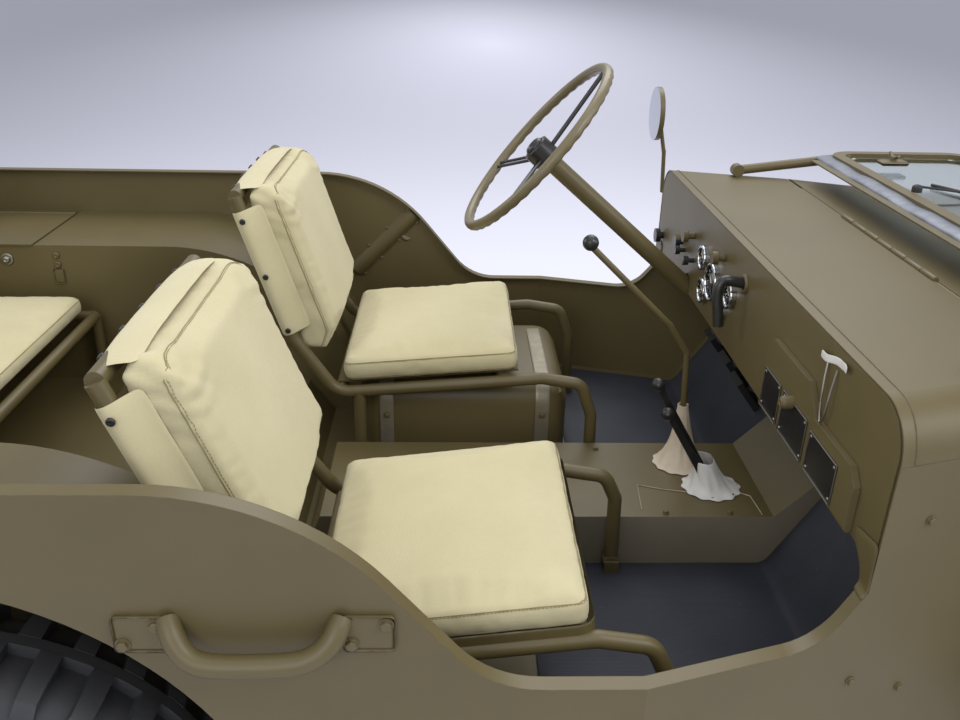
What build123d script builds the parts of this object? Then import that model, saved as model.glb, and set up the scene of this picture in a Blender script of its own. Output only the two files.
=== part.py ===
from build123d import *
import math
import os

# A quarter-ton army 4x4 car. +X forward, +Y left, +Z up, millimetres.
# The origin is on the ground at the middle of the car's box.

# Overall and running gear
LENGTH = 3360.0
WIDTH = 1575.0
WHEELBASE = 2032.0
TRACK = 1245.0
REAR_AXLE_X = -892.0
TYRE_R = 362.0
TYRE_W = 160.0
TREAD_BARS = 21
TREAD_DEEP = 11.0
RIM_R = 203.0
RIM_FLANGE = 14.0
RIM_W = 126.0
FLANGE_T = 4.0
KINGPIN_Y = 552.0
DRUM_D = 44.0
ARM_X = 160.0
AXLE_TUBE_R = 38.0
BALL_R = 44.0
YOKE_R = 30.0
DIFF_R = 122.0
DIFF_Y = -140.0
SPRING_Y = 345.0
SPRING_W = 44.0
LEAF_T = 6.0
LEAVES = 8

# Sheet metal and tubes
SHEET = 3.0
SEAT = 0.3
TUBE_D = 25.0

# Chassis rails
RAIL_Y = 371.0
RAIL_W = 48.0
RAIL_H = 100.0
RAIL_TOP = 470.0
RAIL_RISE_REAR = 80.0
RAIL_RISE_FRONT = 70.0
RAIL_WALL = 4.0

# Tub
TUB_W = 734.0
TUB_REAR_X = -1490.0
TUB_CORNER_R = 55.0
SIDE_LOW_Z = 455.0
SIDE_REAR_LOW_Z = 545.0
TOP_Z = 1007.0
SILL_Z = 732.0
RIM_FLANGE_W = 22.0
CUT_START_X = -580.0
CUT_REAR_R = 348.0
CUT_ANGLE = 50.7
CUT_FRONT_R = 130.0
SEAM_X = -3.0
TAPER = 0.288
CUT_RISE_X = 205.0
CUT_RISE_R = 90.0
ARCH_X = -897.0
ARCH_Z = 453.0
ARCH_R = 442.0
FLOOR_Z = 480.0
REAR_FLOOR_X = -530.0
TOE_X = 355.0
TOE_TOP_Z = 790.0
FIREWALL_X = 535.0
TUNNEL_X0 = -520.0
TUNNEL_Y0 = -172.0
TUNNEL_Y1 = 96.0
TUNNEL_Z = 585.0
HOUSE_Y = 440.0
BOX_X1 = -1195.0

# Cowl, dash and hood
DASH_X = 285.0
DASH_LOW_Z = 843.0
DASH_CORNER_R = 62.0
SHOULDER_R = 65.0
DASH_LIP = 18.0
DOOR_LOW_Z = 850.0
COWL_Z = 1055.0
HOOD_X0 = 550.3
HOOD_HINGE = (547.0, 1052.0)
HINGE_R = 3.0
HOOD_X1 = 1380.0
HOOD_FRONT_Z = 1003.0
HOOD_FRONT_W = 445.0
HOOD_LOW_Z = 870.0
GRILLE_WAIST_Z = 745.0
GRILLE_WAIST_W = 400.0
GRILLE_X = 1408.0
GRILLE_W = 445.0
GRILLE_LOW_Z = 545.0
GRILLE_SLOTS = 9
SLOT_STEP = 49.0
SLOT_W = 28.0
SLOT_Z = (640.0, 950.0)
PRESS_LIP = 20.0
LAMP_Y = 322.0
LAMP_Z = 885.0
LAMP_R = 86.0
MARKER_Y = 330.0
MARKER_Z = 755.0

# Fenders and bumpers
FENDER_W = 762.0
FENDER_Z = 862.0
FENDER_INNER = GRILLE_W + 2.0 + SEAT
FENDER_LIP = 22.0
BUMPER_X = LENGTH / 2
BUMPER_W = 620.0
BUMPER_H = 104.0
BUMPER_Z = 515.0
BUMPER_T = 42.0

# Windscreen, folded forward
SCREEN_W = 560.0
SCREEN_HINGE_X = 430.0
SCREEN_LONG = 550.0
SCREEN_LEG = 210.0
SCREEN_EYE_R = 14.0
SCREEN_HINGE_Z = COWL_Z + SCREEN_EYE_R + SEAT
SCREEN_Z = 1100.0
SCREEN_TUBE = 26.0
GLASS_T = 6.0

# Engine, gearbox and exhaust, each block as x0, x1, y0, y1, z0, z1
ENGINE = (720.0, 1290.0, -175.0, 175.0, 510.0, 900.0)
ENGINE_MOUNT = (1180.0, 1230.0, -360.0, 360.0, RAIL_TOP + RAIL_RISE_FRONT + SEAT, 560.0)
RADIATOR = (1342.0, 1382.0, -215.0, 215.0, RAIL_TOP + RAIL_RISE_FRONT + SEAT, 960.0)
GEARBOX = (250.0, ENGINE[0] - SEAT, -105.0, 85.0, 400.0, 565.0)
TRANSFER_CASE = (60.0, 330.0, -215.0, 100.0, 305.0, 468.0)
SKID_X = (110.0, 300.0)
SKID_T = 6.0
SHAFT_R = 25.0
PINION_LONG = 210.0
EXHAUST_Y = -440.0
EXHAUST_Z = 405.0
EXHAUST_R = 19.0
SILENCER_R = 58.0
SILENCER_X = (-330.0, 60.0)

# Steering
WHEEL_AT = (-69.0, 337.0, 1157.0)
WHEEL_TILT = 40.7
WHEEL_R = 209.0
WHEEL_RIM_R = 10.0
COLUMN_R = 19.0
COLUMN_LONG = 860.0

# Seats and tank
DRIVER_Y = 330.0
PASSENGER_Y = -402.0
SEAT_HALF = 205.0
SIDE_Y = SEAT_HALF + 5.0
PIVOT_X = 58.0
PIVOT_Z = FLOOR_Z + 22.0
PIN_R = 5.0
CUSHION_T = 57.0
PAN_T = 4.0
REAR_SEAT_HALF = 415.0
REAR_SEAT_Z = 735.0
REAR_PAD_HALF = 400.0
TANK = (-438.0, 10.0, 140.0, 505.0, FLOOR_Z + SEAT, 700.0)

# Spare wheel and fuel can
SPARE_Y = -300.0
SPARE_Z = 866.0
CAN_Y = 300.0
CAN = (165.0, 345.0, 470.0)
TAIL_LAMP_Y = 640.0
TAIL_LAMP_Z = 640.0
HOOK_Z = 515.0
BUMPERETTE_Y = 330.0
BUMPERETTE_W = 190.0
HANDLE_X = (-590.0, -332.0)
HANDLE_Z = 823.0
MIRROR_AT = (262.0, 700.0, 1170.0)
MIRROR_R = 63.5

ARM_Z = TYRE_R
FRONT_AXLE_X = REAR_AXLE_X + WHEELBASE
WHEEL_Y = TRACK / 2
SPARE_X = TUB_REAR_X - 110.0
HOUSE_Z = ARCH_Z + ARCH_R + SHEET

os.makedirs("parts", exist_ok=True)


def slab(x0, x1, y0, y1, z0, z1):
    """A block between two corners."""
    return Pos((x0 + x1) / 2, (y0 + y1) / 2, (z0 + z1) / 2) * Box(x1 - x0, y1 - y0, z1 - z0)


def along_y(points, y0, y1):
    """A side outline in X and Z, pulled from y0 to y1."""
    face = make_face(Polyline(*[(x, y0, z) for x, z in points], close=True))
    return extrude(face, amount=y1 - y0, dir=(0, 1, 0))


def along_z(points, z0, z1):
    """A plan outline in X and Y, pulled from z0 to z1."""
    face = make_face(Polyline(*[(x, y, z0) for x, y in points], close=True))
    return extrude(face, amount=z1 - z0, dir=(0, 0, 1))


def along_x(points, x0, x1):
    """A front outline in Y and Z, pulled from x0 to x1."""
    face = make_face(Polyline(*[(x0, y, z) for y, z in points], close=True))
    return extrude(face, amount=x1 - x0, dir=(1, 0, 0))


def rod(p, q, r):
    """A round bar between two points."""
    p, q = Vector(*p), Vector(*q)
    axis = q - p
    return Plane(origin=p, z_dir=axis) * Pos(0, 0, axis.length / 2) * Cylinder(r, axis.length)


def tube(points, r, bend):
    """A round bar bent through a list of points."""
    path = FilletPolyline(*points, radius=bend)
    section = Plane(origin=path @ 0, z_dir=path % 0) * Rot(0, 0, 50) * Circle(r)
    return sweep(section, path=path)


def turned(points, axis):
    """A section of (radius, along) points turned round an axis through the origin."""
    face = make_face(Polyline(*[(r, 0, a) for r, a in points], close=True))
    solid = revolve(face, Axis.Z)
    return Plane(origin=(0, 0, 0), z_dir=axis) * solid


def both(shape):
    """A shape and its mirror image across the car."""
    return [shape, mirror(shape, about=Plane.XZ)]


def save(name, *shapes):
    """Write one named piece."""
    solids = []
    for shape in shapes:
        solids += list(shape.solids())
    body = solids[0] if len(solids) == 1 else Compound(children=solids)
    body.label = name
    export_step(body, f"parts/{name}.step")
    print(name, len(solids))


# Chassis rail line, top edge, and its height at any place
RAIL_LINE = [(TUB_REAR_X + 6, RAIL_TOP + RAIL_RISE_REAR), (-660, RAIL_TOP + RAIL_RISE_REAR),
             (-560, RAIL_TOP), (430, RAIL_TOP), (530, RAIL_TOP + RAIL_RISE_FRONT),
             (BUMPER_X - BUMPER_T - SEAT, RAIL_TOP + RAIL_RISE_FRONT)]


def rail_top(x):
    """The rail's top edge at x."""
    for (x0, z0), (x1, z1) in zip(RAIL_LINE, RAIL_LINE[1:]):
        if x0 <= x <= x1:
            return z0 + (z1 - z0) * (x - x0) / (x1 - x0)
    return RAIL_TOP


# Body outline helpers
def half_width(x):
    """The tub's outer half width, tapered ahead of the seam."""
    return TUB_W - max(0.0, x - SEAM_X) * TAPER


def side_strip(x0, x1, thick, z0, z1):
    """The left wall as seen from above, pulled up."""
    outer = [(x0, TUB_W), (SEAM_X, TUB_W), (x1, half_width(x1))]
    inner = [(x, y - thick) for x, y in reversed(outer)]
    return along_z(outer + inner, z0, z1)


def arc(cx, cz, r, a0, a1):
    """An arc in the XZ plane, angles in degrees from +X."""
    at = [(cx + r * math.cos(math.radians(a)), 0, cz + r * math.sin(math.radians(a)))
          for a in (a0, (a0 + a1) / 2, a1)]
    return ThreePointArc(*at)


def side_face():
    """The side of the tub: rail, low entry, cowl side and wheel arch."""
    rear_arc = arc(CUT_START_X, TOP_Z - CUT_REAR_R, CUT_REAR_R, 90, 90 - CUT_ANGLE)
    a = rear_arc @ 1
    slope = math.radians(CUT_ANGLE)
    drop = a.Z - SILL_Z - CUT_FRONT_R * (1 - math.cos(slope))
    b = (a.X + drop / math.tan(slope), 0, a.Z - drop)
    cx = b[0] + CUT_FRONT_R * math.sin(slope)
    front_arc = arc(cx, SILL_Z + CUT_FRONT_R, CUT_FRONT_R, 270 - CUT_ANGLE, 270)
    rise = arc(CUT_RISE_X - 20, SILL_Z + CUT_RISE_R, CUT_RISE_R, 270, 325)
    c = rise @ 1
    shoulder = COWL_Z - SHOULDER_R
    d = (DASH_X, 0, c.Z + (DASH_X - c.X) * math.tan(math.radians(55)))
    feet = math.sqrt(ARCH_R ** 2 - (SIDE_REAR_LOW_Z - ARCH_Z) ** 2)
    arch = arc(ARCH_X, ARCH_Z, ARCH_R,
               math.degrees(math.asin((SIDE_LOW_Z - ARCH_Z) / ARCH_R)),
               180 - math.degrees(math.asin((SIDE_REAR_LOW_Z - ARCH_Z) / ARCH_R)))
    p, q = arch @ 0, arch @ 1
    edges = [
        Line((TUB_REAR_X, 0, TOP_Z), (CUT_START_X, 0, TOP_Z)), rear_arc,
        Line(a, b), front_arc, Line(front_arc @ 1, rise @ 0), rise,
        Line(c, d), Line(d, (DASH_X, 0, shoulder)),
        Line((DASH_X, 0, shoulder), (HOOD_HINGE[0] - HINGE_R, 0, shoulder)),
        Line((HOOD_HINGE[0] - HINGE_R, 0, shoulder), (HOOD_HINGE[0] - HINGE_R, 0, SIDE_LOW_Z)),
        Line((HOOD_HINGE[0] - HINGE_R, 0, SIDE_LOW_Z), p), arch,
        Line(q, (TUB_REAR_X, 0, SIDE_REAR_LOW_Z)),
        Line((TUB_REAR_X, 0, SIDE_REAR_LOW_Z), (TUB_REAR_X, 0, TOP_Z)),
    ]
    return make_face(Wire(edges))


def body_side():
    """The left side panel with its rolled rim, one sheet thick."""
    face = side_face()
    whole = extrude(face, amount=2 * TUB_W, dir=(0, 1, 0))
    skin = side_strip(TUB_REAR_X + TUB_CORNER_R, HOOD_X0, SHEET, SIDE_LOW_Z - 50, COWL_Z + 50) & whole
    lowered = Pos(0, 0, -SHEET) * whole
    rim_zone = side_strip(TUB_REAR_X + TUB_CORNER_R, DASH_X - SEAT, RIM_FLANGE_W,
                          SILL_Z - 20, COWL_Z + 50)
    rim = (whole & rim_zone) - lowered
    corner = rear_corner()
    return skin + rim + corner


def rear_corner():
    """The rounded rear corner of the left side panel."""
    r = TUB_CORNER_R
    ring = Pos(TUB_REAR_X + r, TUB_W - r, (SIDE_REAR_LOW_Z + TOP_Z) / 2) * (
        Cylinder(r, TOP_Z - SIDE_REAR_LOW_Z) - Cylinder(r - SHEET, TOP_Z))
    quarter = slab(TUB_REAR_X - 1, TUB_REAR_X + r, TUB_W - r, TUB_W + 1, 0, TOP_Z + 1)
    return ring & quarter


def rear_panel():
    """The rear panel between the rounded corners, with its rim."""
    half = TUB_W - TUB_CORNER_R - SEAT
    plate = slab(TUB_REAR_X, TUB_REAR_X + SHEET, -half, half, SIDE_REAR_LOW_Z, TOP_Z)
    rim = slab(TUB_REAR_X, TUB_REAR_X + RIM_FLANGE_W, -half, half, TOP_Z - SHEET, TOP_Z)
    return plate + rim


# Running gear
def chassis():
    """Two channel rails with kick-ups over both axles, and cross members."""
    up_r, up_f, h = RAIL_RISE_REAR, RAIL_RISE_FRONT, RAIL_H
    line = RAIL_LINE
    outline = line + [(x, z - h) for x, z in reversed(line)]
    rail = along_y(outline, RAIL_Y - RAIL_W, RAIL_Y)
    inner = [(x, z - RAIL_WALL) for x, z in line] + [(x, z - h + RAIL_WALL) for x, z in reversed(line)]
    rail -= along_y(inner, RAIL_Y - RAIL_W - 1, RAIL_Y - RAIL_WALL)
    frame = rail + mirror(rail, about=Plane.XZ)
    cross = [(TUB_REAR_X + 36, 60, up_r), (-690, 40, up_r), (-380, 50, 0),
             (1362, 40, up_f), (BUMPER_X - 90, 40, up_f)]
    for x, wide, rise in cross:
        top = RAIL_TOP + rise
        frame += slab(x - wide / 2, x + wide / 2, -RAIL_Y + RAIL_WALL, RAIL_Y - RAIL_WALL, top - 60, top)
    return frame


def front_bumper():
    """A channel bumper with cut ends."""
    x = BUMPER_X - BUMPER_T
    zs = (BUMPER_Z - BUMPER_H / 2, BUMPER_Z + BUMPER_H / 2)
    beam = slab(x, BUMPER_X, -BUMPER_W, BUMPER_W, *zs)
    beam -= slab(x - 1, BUMPER_X - 6, -BUMPER_W + 60, BUMPER_W - 60, zs[0] + 8, zs[1] - 8)
    beam += slab(x, BUMPER_X - 3, -RAIL_Y, -RAIL_Y + RAIL_W, zs[0] + 4, zs[1] - 4)
    beam += slab(x, BUMPER_X - 3, RAIL_Y - RAIL_W, RAIL_Y, zs[0] + 4, zs[1] - 4)
    return beam


def leaf_spring(x, half, eye_z):
    """One spring pack of stepped curved leaves under an axle tube."""
    seat_z = TYRE_R - AXLE_TUBE_R - SEAT
    sag = eye_z - seat_z
    r = (half ** 2 + sag ** 2) / (2 * sag)
    pack = None
    for i in range(LEAVES):
        reach = half * (1 - 0.11 * i)
        a = math.degrees(math.asin(reach / r))
        outer, inner = r + (i + 1) * LEAF_T, r + i * LEAF_T
        cz = seat_z + r
        low, high = arc(x, cz, outer, 270 - a, 270 + a), arc(x, cz, inner, 270 - a, 270 + a)
        face = make_face(Wire([low, Line(low @ 1, high @ 1), high, Line(high @ 0, low @ 0)]))
        leaf = extrude(face, amount=SPRING_W, dir=(0, 1, 0))
        pack = leaf if pack is None else pack + leaf
    pack = Pos(0, SPRING_Y - SPRING_W / 2, 0) * pack
    return pack


def springs():
    """Four spring packs with their hangers up to the rails."""
    out = []
    for x, half in ((FRONT_AXLE_X, 430), (REAR_AXLE_X, 470)):
        eye_z = min(rail_top(x - half), rail_top(x + half)) - RAIL_H - 34
        pack = leaf_spring(x, half, eye_z)
        for side in (-1, 1):
            at = x + side * half
            hanger = slab(at - 16, at + 16, SPRING_Y - SPRING_W / 2, SPRING_Y + SPRING_W / 2,
                          eye_z - 14, rail_top(at) - RAIL_H - SEAT)
            pack += hanger
        out += both(pack)
    return out


def axle(x, end):
    """A tube axle with an offset differential housing."""
    a = rod((x, -end, TYRE_R), (x, end, TYRE_R), AXLE_TUBE_R)
    bowl = Pos(x, DIFF_Y, TYRE_R) * Sphere(DIFF_R)
    bowl &= slab(x - DIFF_R, x + DIFF_R, DIFF_Y - 75, DIFF_Y + 75, 0, 1000)
    return a + bowl


def front_axle():
    """The front axle with its pinion nose and the balls of both steering joints."""
    a = axle(FRONT_AXLE_X, KINGPIN_Y - 82)
    nose = rod((FRONT_AXLE_X - PINION_LONG, DIFF_Y, TYRE_R), (FRONT_AXLE_X, DIFF_Y, TYRE_R), 45)
    for s in (-1, 1):
        a += rod((FRONT_AXLE_X, s * (KINGPIN_Y - 83), TYRE_R), (FRONT_AXLE_X, s * KINGPIN_Y, TYRE_R), YOKE_R)
        a += Pos(FRONT_AXLE_X, s * KINGPIN_Y, TYRE_R) * Rot(90, 0, 0) * Sphere(BALL_R)
    return a + nose


def rear_axle():
    """The rear axle with its pinion nose, backing plates and half shafts."""
    a = axle(REAR_AXLE_X, WHEEL_Y - 62)
    nose = rod((REAR_AXLE_X + PINION_LONG, DIFF_Y, TYRE_R), (REAR_AXLE_X, DIFF_Y, TYRE_R), 45)
    for s in (-1, 1):
        a += rod((REAR_AXLE_X, s * (WHEEL_Y - 74), TYRE_R), (REAR_AXLE_X, s * (WHEEL_Y - 62), TYRE_R), 130)
        a += rod((REAR_AXLE_X, s * (WHEEL_Y - 63), TYRE_R), (REAR_AXLE_X, s * (WHEEL_Y - 8 - SEAT), TYRE_R), 22)
    return a + nose


def knuckle():
    """The left steering knuckle: ball cup, backing plate, spindle and steering arm."""
    x, y, z = FRONT_AXLE_X, KINGPIN_Y, TYRE_R
    cup = Pos(x, y, z) * Rot(90, 0, 0) * (Sphere(BALL_R + 9) - Sphere(BALL_R + 1))
    cup &= slab(x - 80, x + 80, y - 12, y + 80, z - 100, z + 100)
    cup += rod((x, y, z + BALL_R + 5), (x, y, z + BALL_R + 20), 22)
    cup += rod((x, y, z - BALL_R - 20), (x, y, z - BALL_R - 5), 22)
    y0 = WHEEL_Y - DRUM_D - 10
    plate = rod((x, y0, z), (x, y0 + 6, z), 130) - rod((x, y0 - 1, z), (x, y0 + 7, z), BALL_R + 5)
    spindle = rod((x, y + BALL_R + 3, z), (x, WHEEL_Y - 8 - SEAT, z), 22)
    spindle -= Pos(x, y, z) * Sphere(BALL_R + 1)
    arm = slab(x + BALL_R + 4, x + ARM_X, y - 8, y + 8, ARM_Z - 8, ARM_Z + 8)
    eye = Pos(x + ARM_X, y, ARM_Z) * Cylinder(16, 20)
    return cup + plate + spindle + arm + eye


def tie_rod():
    """The rod that joins both steering arms, ahead of the axle."""
    x, z = FRONT_AXLE_X + ARM_X, ARM_Z + 25 + SEAT
    bar = rod((x, -KINGPIN_Y, z), (x, KINGPIN_Y, z), 11)
    for s in (-1, 1):
        bar += Pos(x, s * KINGPIN_Y, z) * Cylinder(16, 30)
    return bar


def tyre(x, y, z, axis=(0, 1, 0)):
    """A tyre of flat facets round its axis, a flat one down, with a centre rib and staggered bars."""
    n = 2 * TREAD_BARS
    across, top = Vector(*axis), TYRE_R / math.cos(math.pi / n)
    down = Vector(0, 0, -1)
    aside = across.cross(down)
    w, rib, base = TYRE_W / 2, 13.0, top - TREAD_DEEP
    bead, half = RIM_R + SEAT + 0.6, RIM_W / 2 - FLANGE_T - SEAT
    wall = [(bead, half), (bead + RIM_FLANGE + 8, half), (TYRE_R - 85, w), (base, w - 20)]

    def at(i, r, a):
        turn = math.pi * (2 * i - 1) / n
        return down * (r * math.cos(turn)) + aside * (r * math.sin(turn)) + across * a

    def quad(*corners):
        return Face(Wire.make_polygon(list(corners), close=True))

    faces = []
    for i in range(n):
        j = i + 1
        faces.append(quad(at(i, bead, -half), at(j, bead, -half), at(j, bead, half), at(i, bead, half)))
        faces.append(quad(at(i, top, -rib), at(j, top, -rib), at(j, top, rib), at(i, top, rib)))
        for s in (-1, 1):
            for (r0, a0), (r1, a1) in zip(wall, wall[1:]):
                faces.append(quad(at(i, r0, s * a0), at(j, r0, s * a0), at(j, r1, s * a1), at(i, r1, s * a1)))
            bar = (i + (s > 0)) % 2
            edge, r = (w - 20, top) if bar else (rib, base)
            inner, end, edge = s * rib, s * (w - 20), s * edge
            faces.append(quad(at(i, r, inner), at(j, r, inner), at(j, r, end), at(i, r, end)))
            faces.append(quad(at(i, base, edge), at(j, base, edge), at(j, top, edge), at(i, top, edge)))
            faces.append(quad(at(i, base, inner), at(i, base, end), at(i, top, end), at(i, top, inner)))
    return Pos(x, y, z) * Solid(Shell(faces))


def wheel(x, y, z, out, fitted):
    """A disc wheel, with hub and drum where it is fitted; out is the axis that its dish faces."""
    half = RIM_W / 2
    top = RIM_R + RIM_FLANGE
    side = [(RIM_R - 4, half), (top, half), (top, half - FLANGE_T), (RIM_R, half - FLANGE_T),
            (RIM_R, half - 24), (RIM_R - 10, half - 32)]
    well = [(RIM_R - 14, half - 34), (RIM_R - 4, half - 26)]
    rim = side + [(r, -a) for r, a in reversed(side)] + [(r, -a) for r, a in reversed(well)] + well
    disc = [(40, 8), (70, 8), (95, 26), (150, 12), (RIM_R - 13, 4), (RIM_R - 13, -4), (150, 4),
            (95, 18), (70, 0), (40, 0)]
    hub = [(0, -8), (0, 62), (28, 62), (34, 40), (41, 8), (41, -8)]
    drum = [(30, 0.1), (115, 0.1), (118, -DRUM_D), (108, -DRUM_D), (106, -6), (30, -8)]
    solid = turned(rim, out) + turned(disc, out)
    if fitted:
        solid += turned(hub, out) + turned(drum, out)
    return Pos(x, y, z) * solid


# Body inside
def floor():
    """Front floor, raised rear floor, tunnel, toe board and firewall in one pressing."""
    t = SHEET
    w = TUB_W - SHEET - SEAT
    rear_z = FLOOR_Z + RAIL_RISE_REAR
    line = [(TUB_REAR_X + SHEET + SEAT, rear_z), (REAR_FLOOR_X - 60, rear_z), (REAR_FLOOR_X, FLOOR_Z),
            (TOE_X, FLOOR_Z), (FIREWALL_X, TOE_TOP_Z), (FIREWALL_X, COWL_Z - SHEET - SEAT)]
    under = [(x + (t if z >= TOE_TOP_Z else 0), z - (0 if z > TOE_TOP_Z else t)) for x, z in line]
    pan = along_y(line + list(reversed(under)), -w, w)
    plan = [(TUB_REAR_X + SHEET + SEAT, w), (SEAM_X, w), (HOOD_X0, half_width(HOOD_X0) - SHEET - SEAT)]
    plan += [(x, -y) for x, y in reversed(plan)]
    pan &= along_z(plan, 0, 2000)
    corner = TUB_CORNER_R
    for s in (-1, 1):
        pan -= slab(TUB_REAR_X - 1, TUB_REAR_X + corner, s * TUB_W - corner, s * TUB_W + corner, 0, 2000)
    hump = [(TUNNEL_X0, FLOOR_Z), (TUNNEL_X0 + 40, TUNNEL_Z), (360, TUNNEL_Z), (470, 700), (470, FLOOR_Z)]
    shoulder = slab(DASH_X, HOOD_X0, -TUB_W, TUB_W, COWL_Z - SHOULDER_R - 5, COWL_Z)
    pan -= shoulder - cowl_shape(DASH_X - 1, HOOD_X0 + 1, COWL_Z - SHOULDER_R - 20, SHEET + SEAT)
    outer = along_y(hump, TUNNEL_Y0, TUNNEL_Y1)
    inner = along_y([(x, z - t) for x, z in hump], TUNNEL_Y0 + t, TUNNEL_Y1 - t)
    above = along_y(line[2:5] + [(FIREWALL_X - 200, 900), (-600, 900)], -w, w)
    pan += (outer - inner) & above
    pan -= inner
    for s in (-1, 1):
        y0, y1 = (HOUSE_Y, TUB_W) if s > 0 else (-TUB_W, -HOUSE_Y)
        pan -= slab(TUB_REAR_X - 1, ARCH_X + ARCH_R + 2 * SHEET, y0 - SEAT, y1 + SEAT, 0, HOUSE_Z)
    axis = Vector(math.cos(math.radians(WHEEL_TILT)), 0, -math.sin(math.radians(WHEEL_TILT)))
    start = Vector(*WHEEL_AT)
    pan -= rod(tuple(start), tuple(start + axis * (COLUMN_LONG + 100)), COLUMN_R + 1)
    return pan


def wheelhouse():
    """The left wheelhouse with the tool box behind it, open at its top."""
    t = SHEET
    y1 = TUB_W - SHEET - SEAT
    x0 = TUB_REAR_X + SHEET + SEAT
    low = FLOOR_Z - t
    x1 = ARCH_X + math.sqrt((ARCH_R + t) ** 2 - (low - ARCH_Z) ** 2)
    outer = [Line((x0, 0, low), (x0, 0, HOUSE_Z)), Line((x0, 0, HOUSE_Z), (ARCH_X, 0, HOUSE_Z))]
    bend = arc(ARCH_X, ARCH_Z, ARCH_R + t, 90, math.degrees(math.asin((low - ARCH_Z) / (ARCH_R + t))))
    outer += [bend, Line(bend @ 1, (x0, 0, low))]
    shell = extrude(Pos(0, HOUSE_Y, 0) * make_face(Wire(outer)), amount=y1 - HOUSE_Y, dir=(0, 1, 0))
    round_room = Pos(ARCH_X, 0, ARCH_Z) * Rot(90, 0, 0) * Cylinder(ARCH_R, 4 * TUB_W)
    wheel_room = (round_room + slab(ARCH_X - ARCH_R, ARCH_X + ARCH_R, -2000, 2000, 0, ARCH_Z))
    shell -= wheel_room & slab(-3000, 3000, HOUSE_Y + t, y1 + 50, 0, 2000)
    room = slab(x0 + t, BOX_X1 - t, HOUSE_Y + t, y1 - t, low + t, HOUSE_Z + 50)
    shell -= room - Pos(ARCH_X, 0, ARCH_Z) * Rot(90, 0, 0) * Cylinder(ARCH_R + t, 4 * TUB_W)
    shell -= slab(TUB_REAR_X - 1, TUB_REAR_X + TUB_CORNER_R, TUB_W - TUB_CORNER_R, TUB_W + 1, 0, 2000)
    shell -= slab(x0 - 1, BOX_X1, HOUSE_Y - 1, y1 + 1, 0, SIDE_REAR_LOW_Z)
    return shell


def box_lid():
    """The left tool box lid with its hinge barrel on the outer edge."""
    y1 = TUB_W - SHEET - SEAT - 34
    x0, x1 = TUB_REAR_X + TUB_CORNER_R + 5, BOX_X1 - 4
    low = HOUSE_Z + SEAT
    return slab(x0, x1, HOUSE_Y - 6, y1 - 3, low, low + 3) + rod((x0, y1 - 3, low + 3), (x1, y1 - 3, low + 3), 3)


def dash():
    """The dash panel with rounded top corners and holes for its clocks."""
    w = half_width(DASH_X + DASH_LIP) - SHEET - SEAT
    plate = slab(DASH_X, DASH_X + SHEET, -w, w, DASH_LOW_Z, COWL_Z - SHEET - SEAT)
    plate = fillet(plate.edges().filter_by(Axis.X).group_by(Axis.Z)[-1], DASH_CORNER_R)
    lip = slab(DASH_X, DASH_X + DASH_LIP, -w, w, DASH_LOW_Z, DASH_LOW_Z + SHEET)
    plate += lip
    plate -= glove_outline(8, DASH_X - 1, DASH_X + 40)
    axis = Vector(math.cos(math.radians(WHEEL_TILT)), 0, -math.sin(math.radians(WHEEL_TILT)))
    start = Vector(*WHEEL_AT)
    plate -= rod(tuple(start), tuple(start + axis * COLUMN_LONG), COLUMN_R + 4)
    return plate


def shoulder_shell(x0, w0, z0, x1, w1, z1, low, inset):
    """A solid between two sections across the car, each with a flat top and rounded shoulders."""
    faces = []
    for x, w, z in ((x0, w0 - inset, z0 - inset), (x1, w1 - inset, z1 - inset)):
        r = SHOULDER_R - inset
        k = r * (1 - math.sqrt(0.5))
        faces.append(make_face(Wire([
            Line((x, -w, low), (x, -w, z - r)), ThreePointArc((x, -w, z - r), (x, k - w, z - k), (x, r - w, z)),
            Line((x, r - w, z), (x, w - r, z)), ThreePointArc((x, w - r, z), (x, w - k, z - k), (x, w, z - r)),
            Line((x, w, z - r), (x, w, low)), Line((x, w, low), (x, -w, low))])))
    return loft(faces, ruled=True)


def cowl_shape(x0, x1, low, inset):
    return shoulder_shell(x0, half_width(x0), COWL_Z, x1, half_width(x1), COWL_Z, low, inset)


def cowl():
    """The cowl between the dash and the hood, its shoulders rounded, with the hood's hinge barrel."""
    low = COWL_Z - SHOULDER_R
    x, z = HOOD_HINGE
    shell = cowl_shape(DASH_X, x - HINGE_R, low - 20, 0) - cowl_shape(DASH_X - 1, x, low - 21, SHEET)
    shell -= slab(DASH_X - 1, x, -TUB_W, TUB_W, low - 30, low + SEAT)
    return shell + rod((x, -430, z), (x, 430, z), HINGE_R)


def glove_outline(shrink, x0, x1):
    """The glove box door's stepped outline, shrunk evenly, as a solid."""
    g = shrink
    line = [(-217 - g, DOOR_LOW_Z + g), (-217 - g, 950 - g), (-240 - g, 976 - g), (-392 + g, 976 - g),
            (-436 + g, 936 - g), (-556 + g, 936 - g), (-577 + g, 915 - g), (-577 + g, DOOR_LOW_Z + g)]
    face = make_face(Polyline(*[(x0, y, z) for y, z in line], close=True))
    return extrude(face, amount=x1 - x0, dir=(1, 0, 0))


def glove_door():
    """The glove box door in front of its opening, with its hinge barrel below."""
    x0, x1 = DASH_X - 10, DASH_X - SEAT
    r = (x1 - x0) / 2
    return glove_outline(0, x0, x1) + rod((x0 + r, -577, DOOR_LOW_Z), (x0 + r, -217, DOOR_LOW_Z), r)


def hood():
    """The hood: a tapered lid with turned-down sides, open below."""
    ends = (HOOD_X0, half_width(HOOD_X0), COWL_Z, HOOD_X1, HOOD_FRONT_W, HOOD_FRONT_Z)
    return shoulder_shell(*ends, HOOD_LOW_Z, 0) - shoulder_shell(*ends, HOOD_LOW_Z - 1, SHEET)


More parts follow.
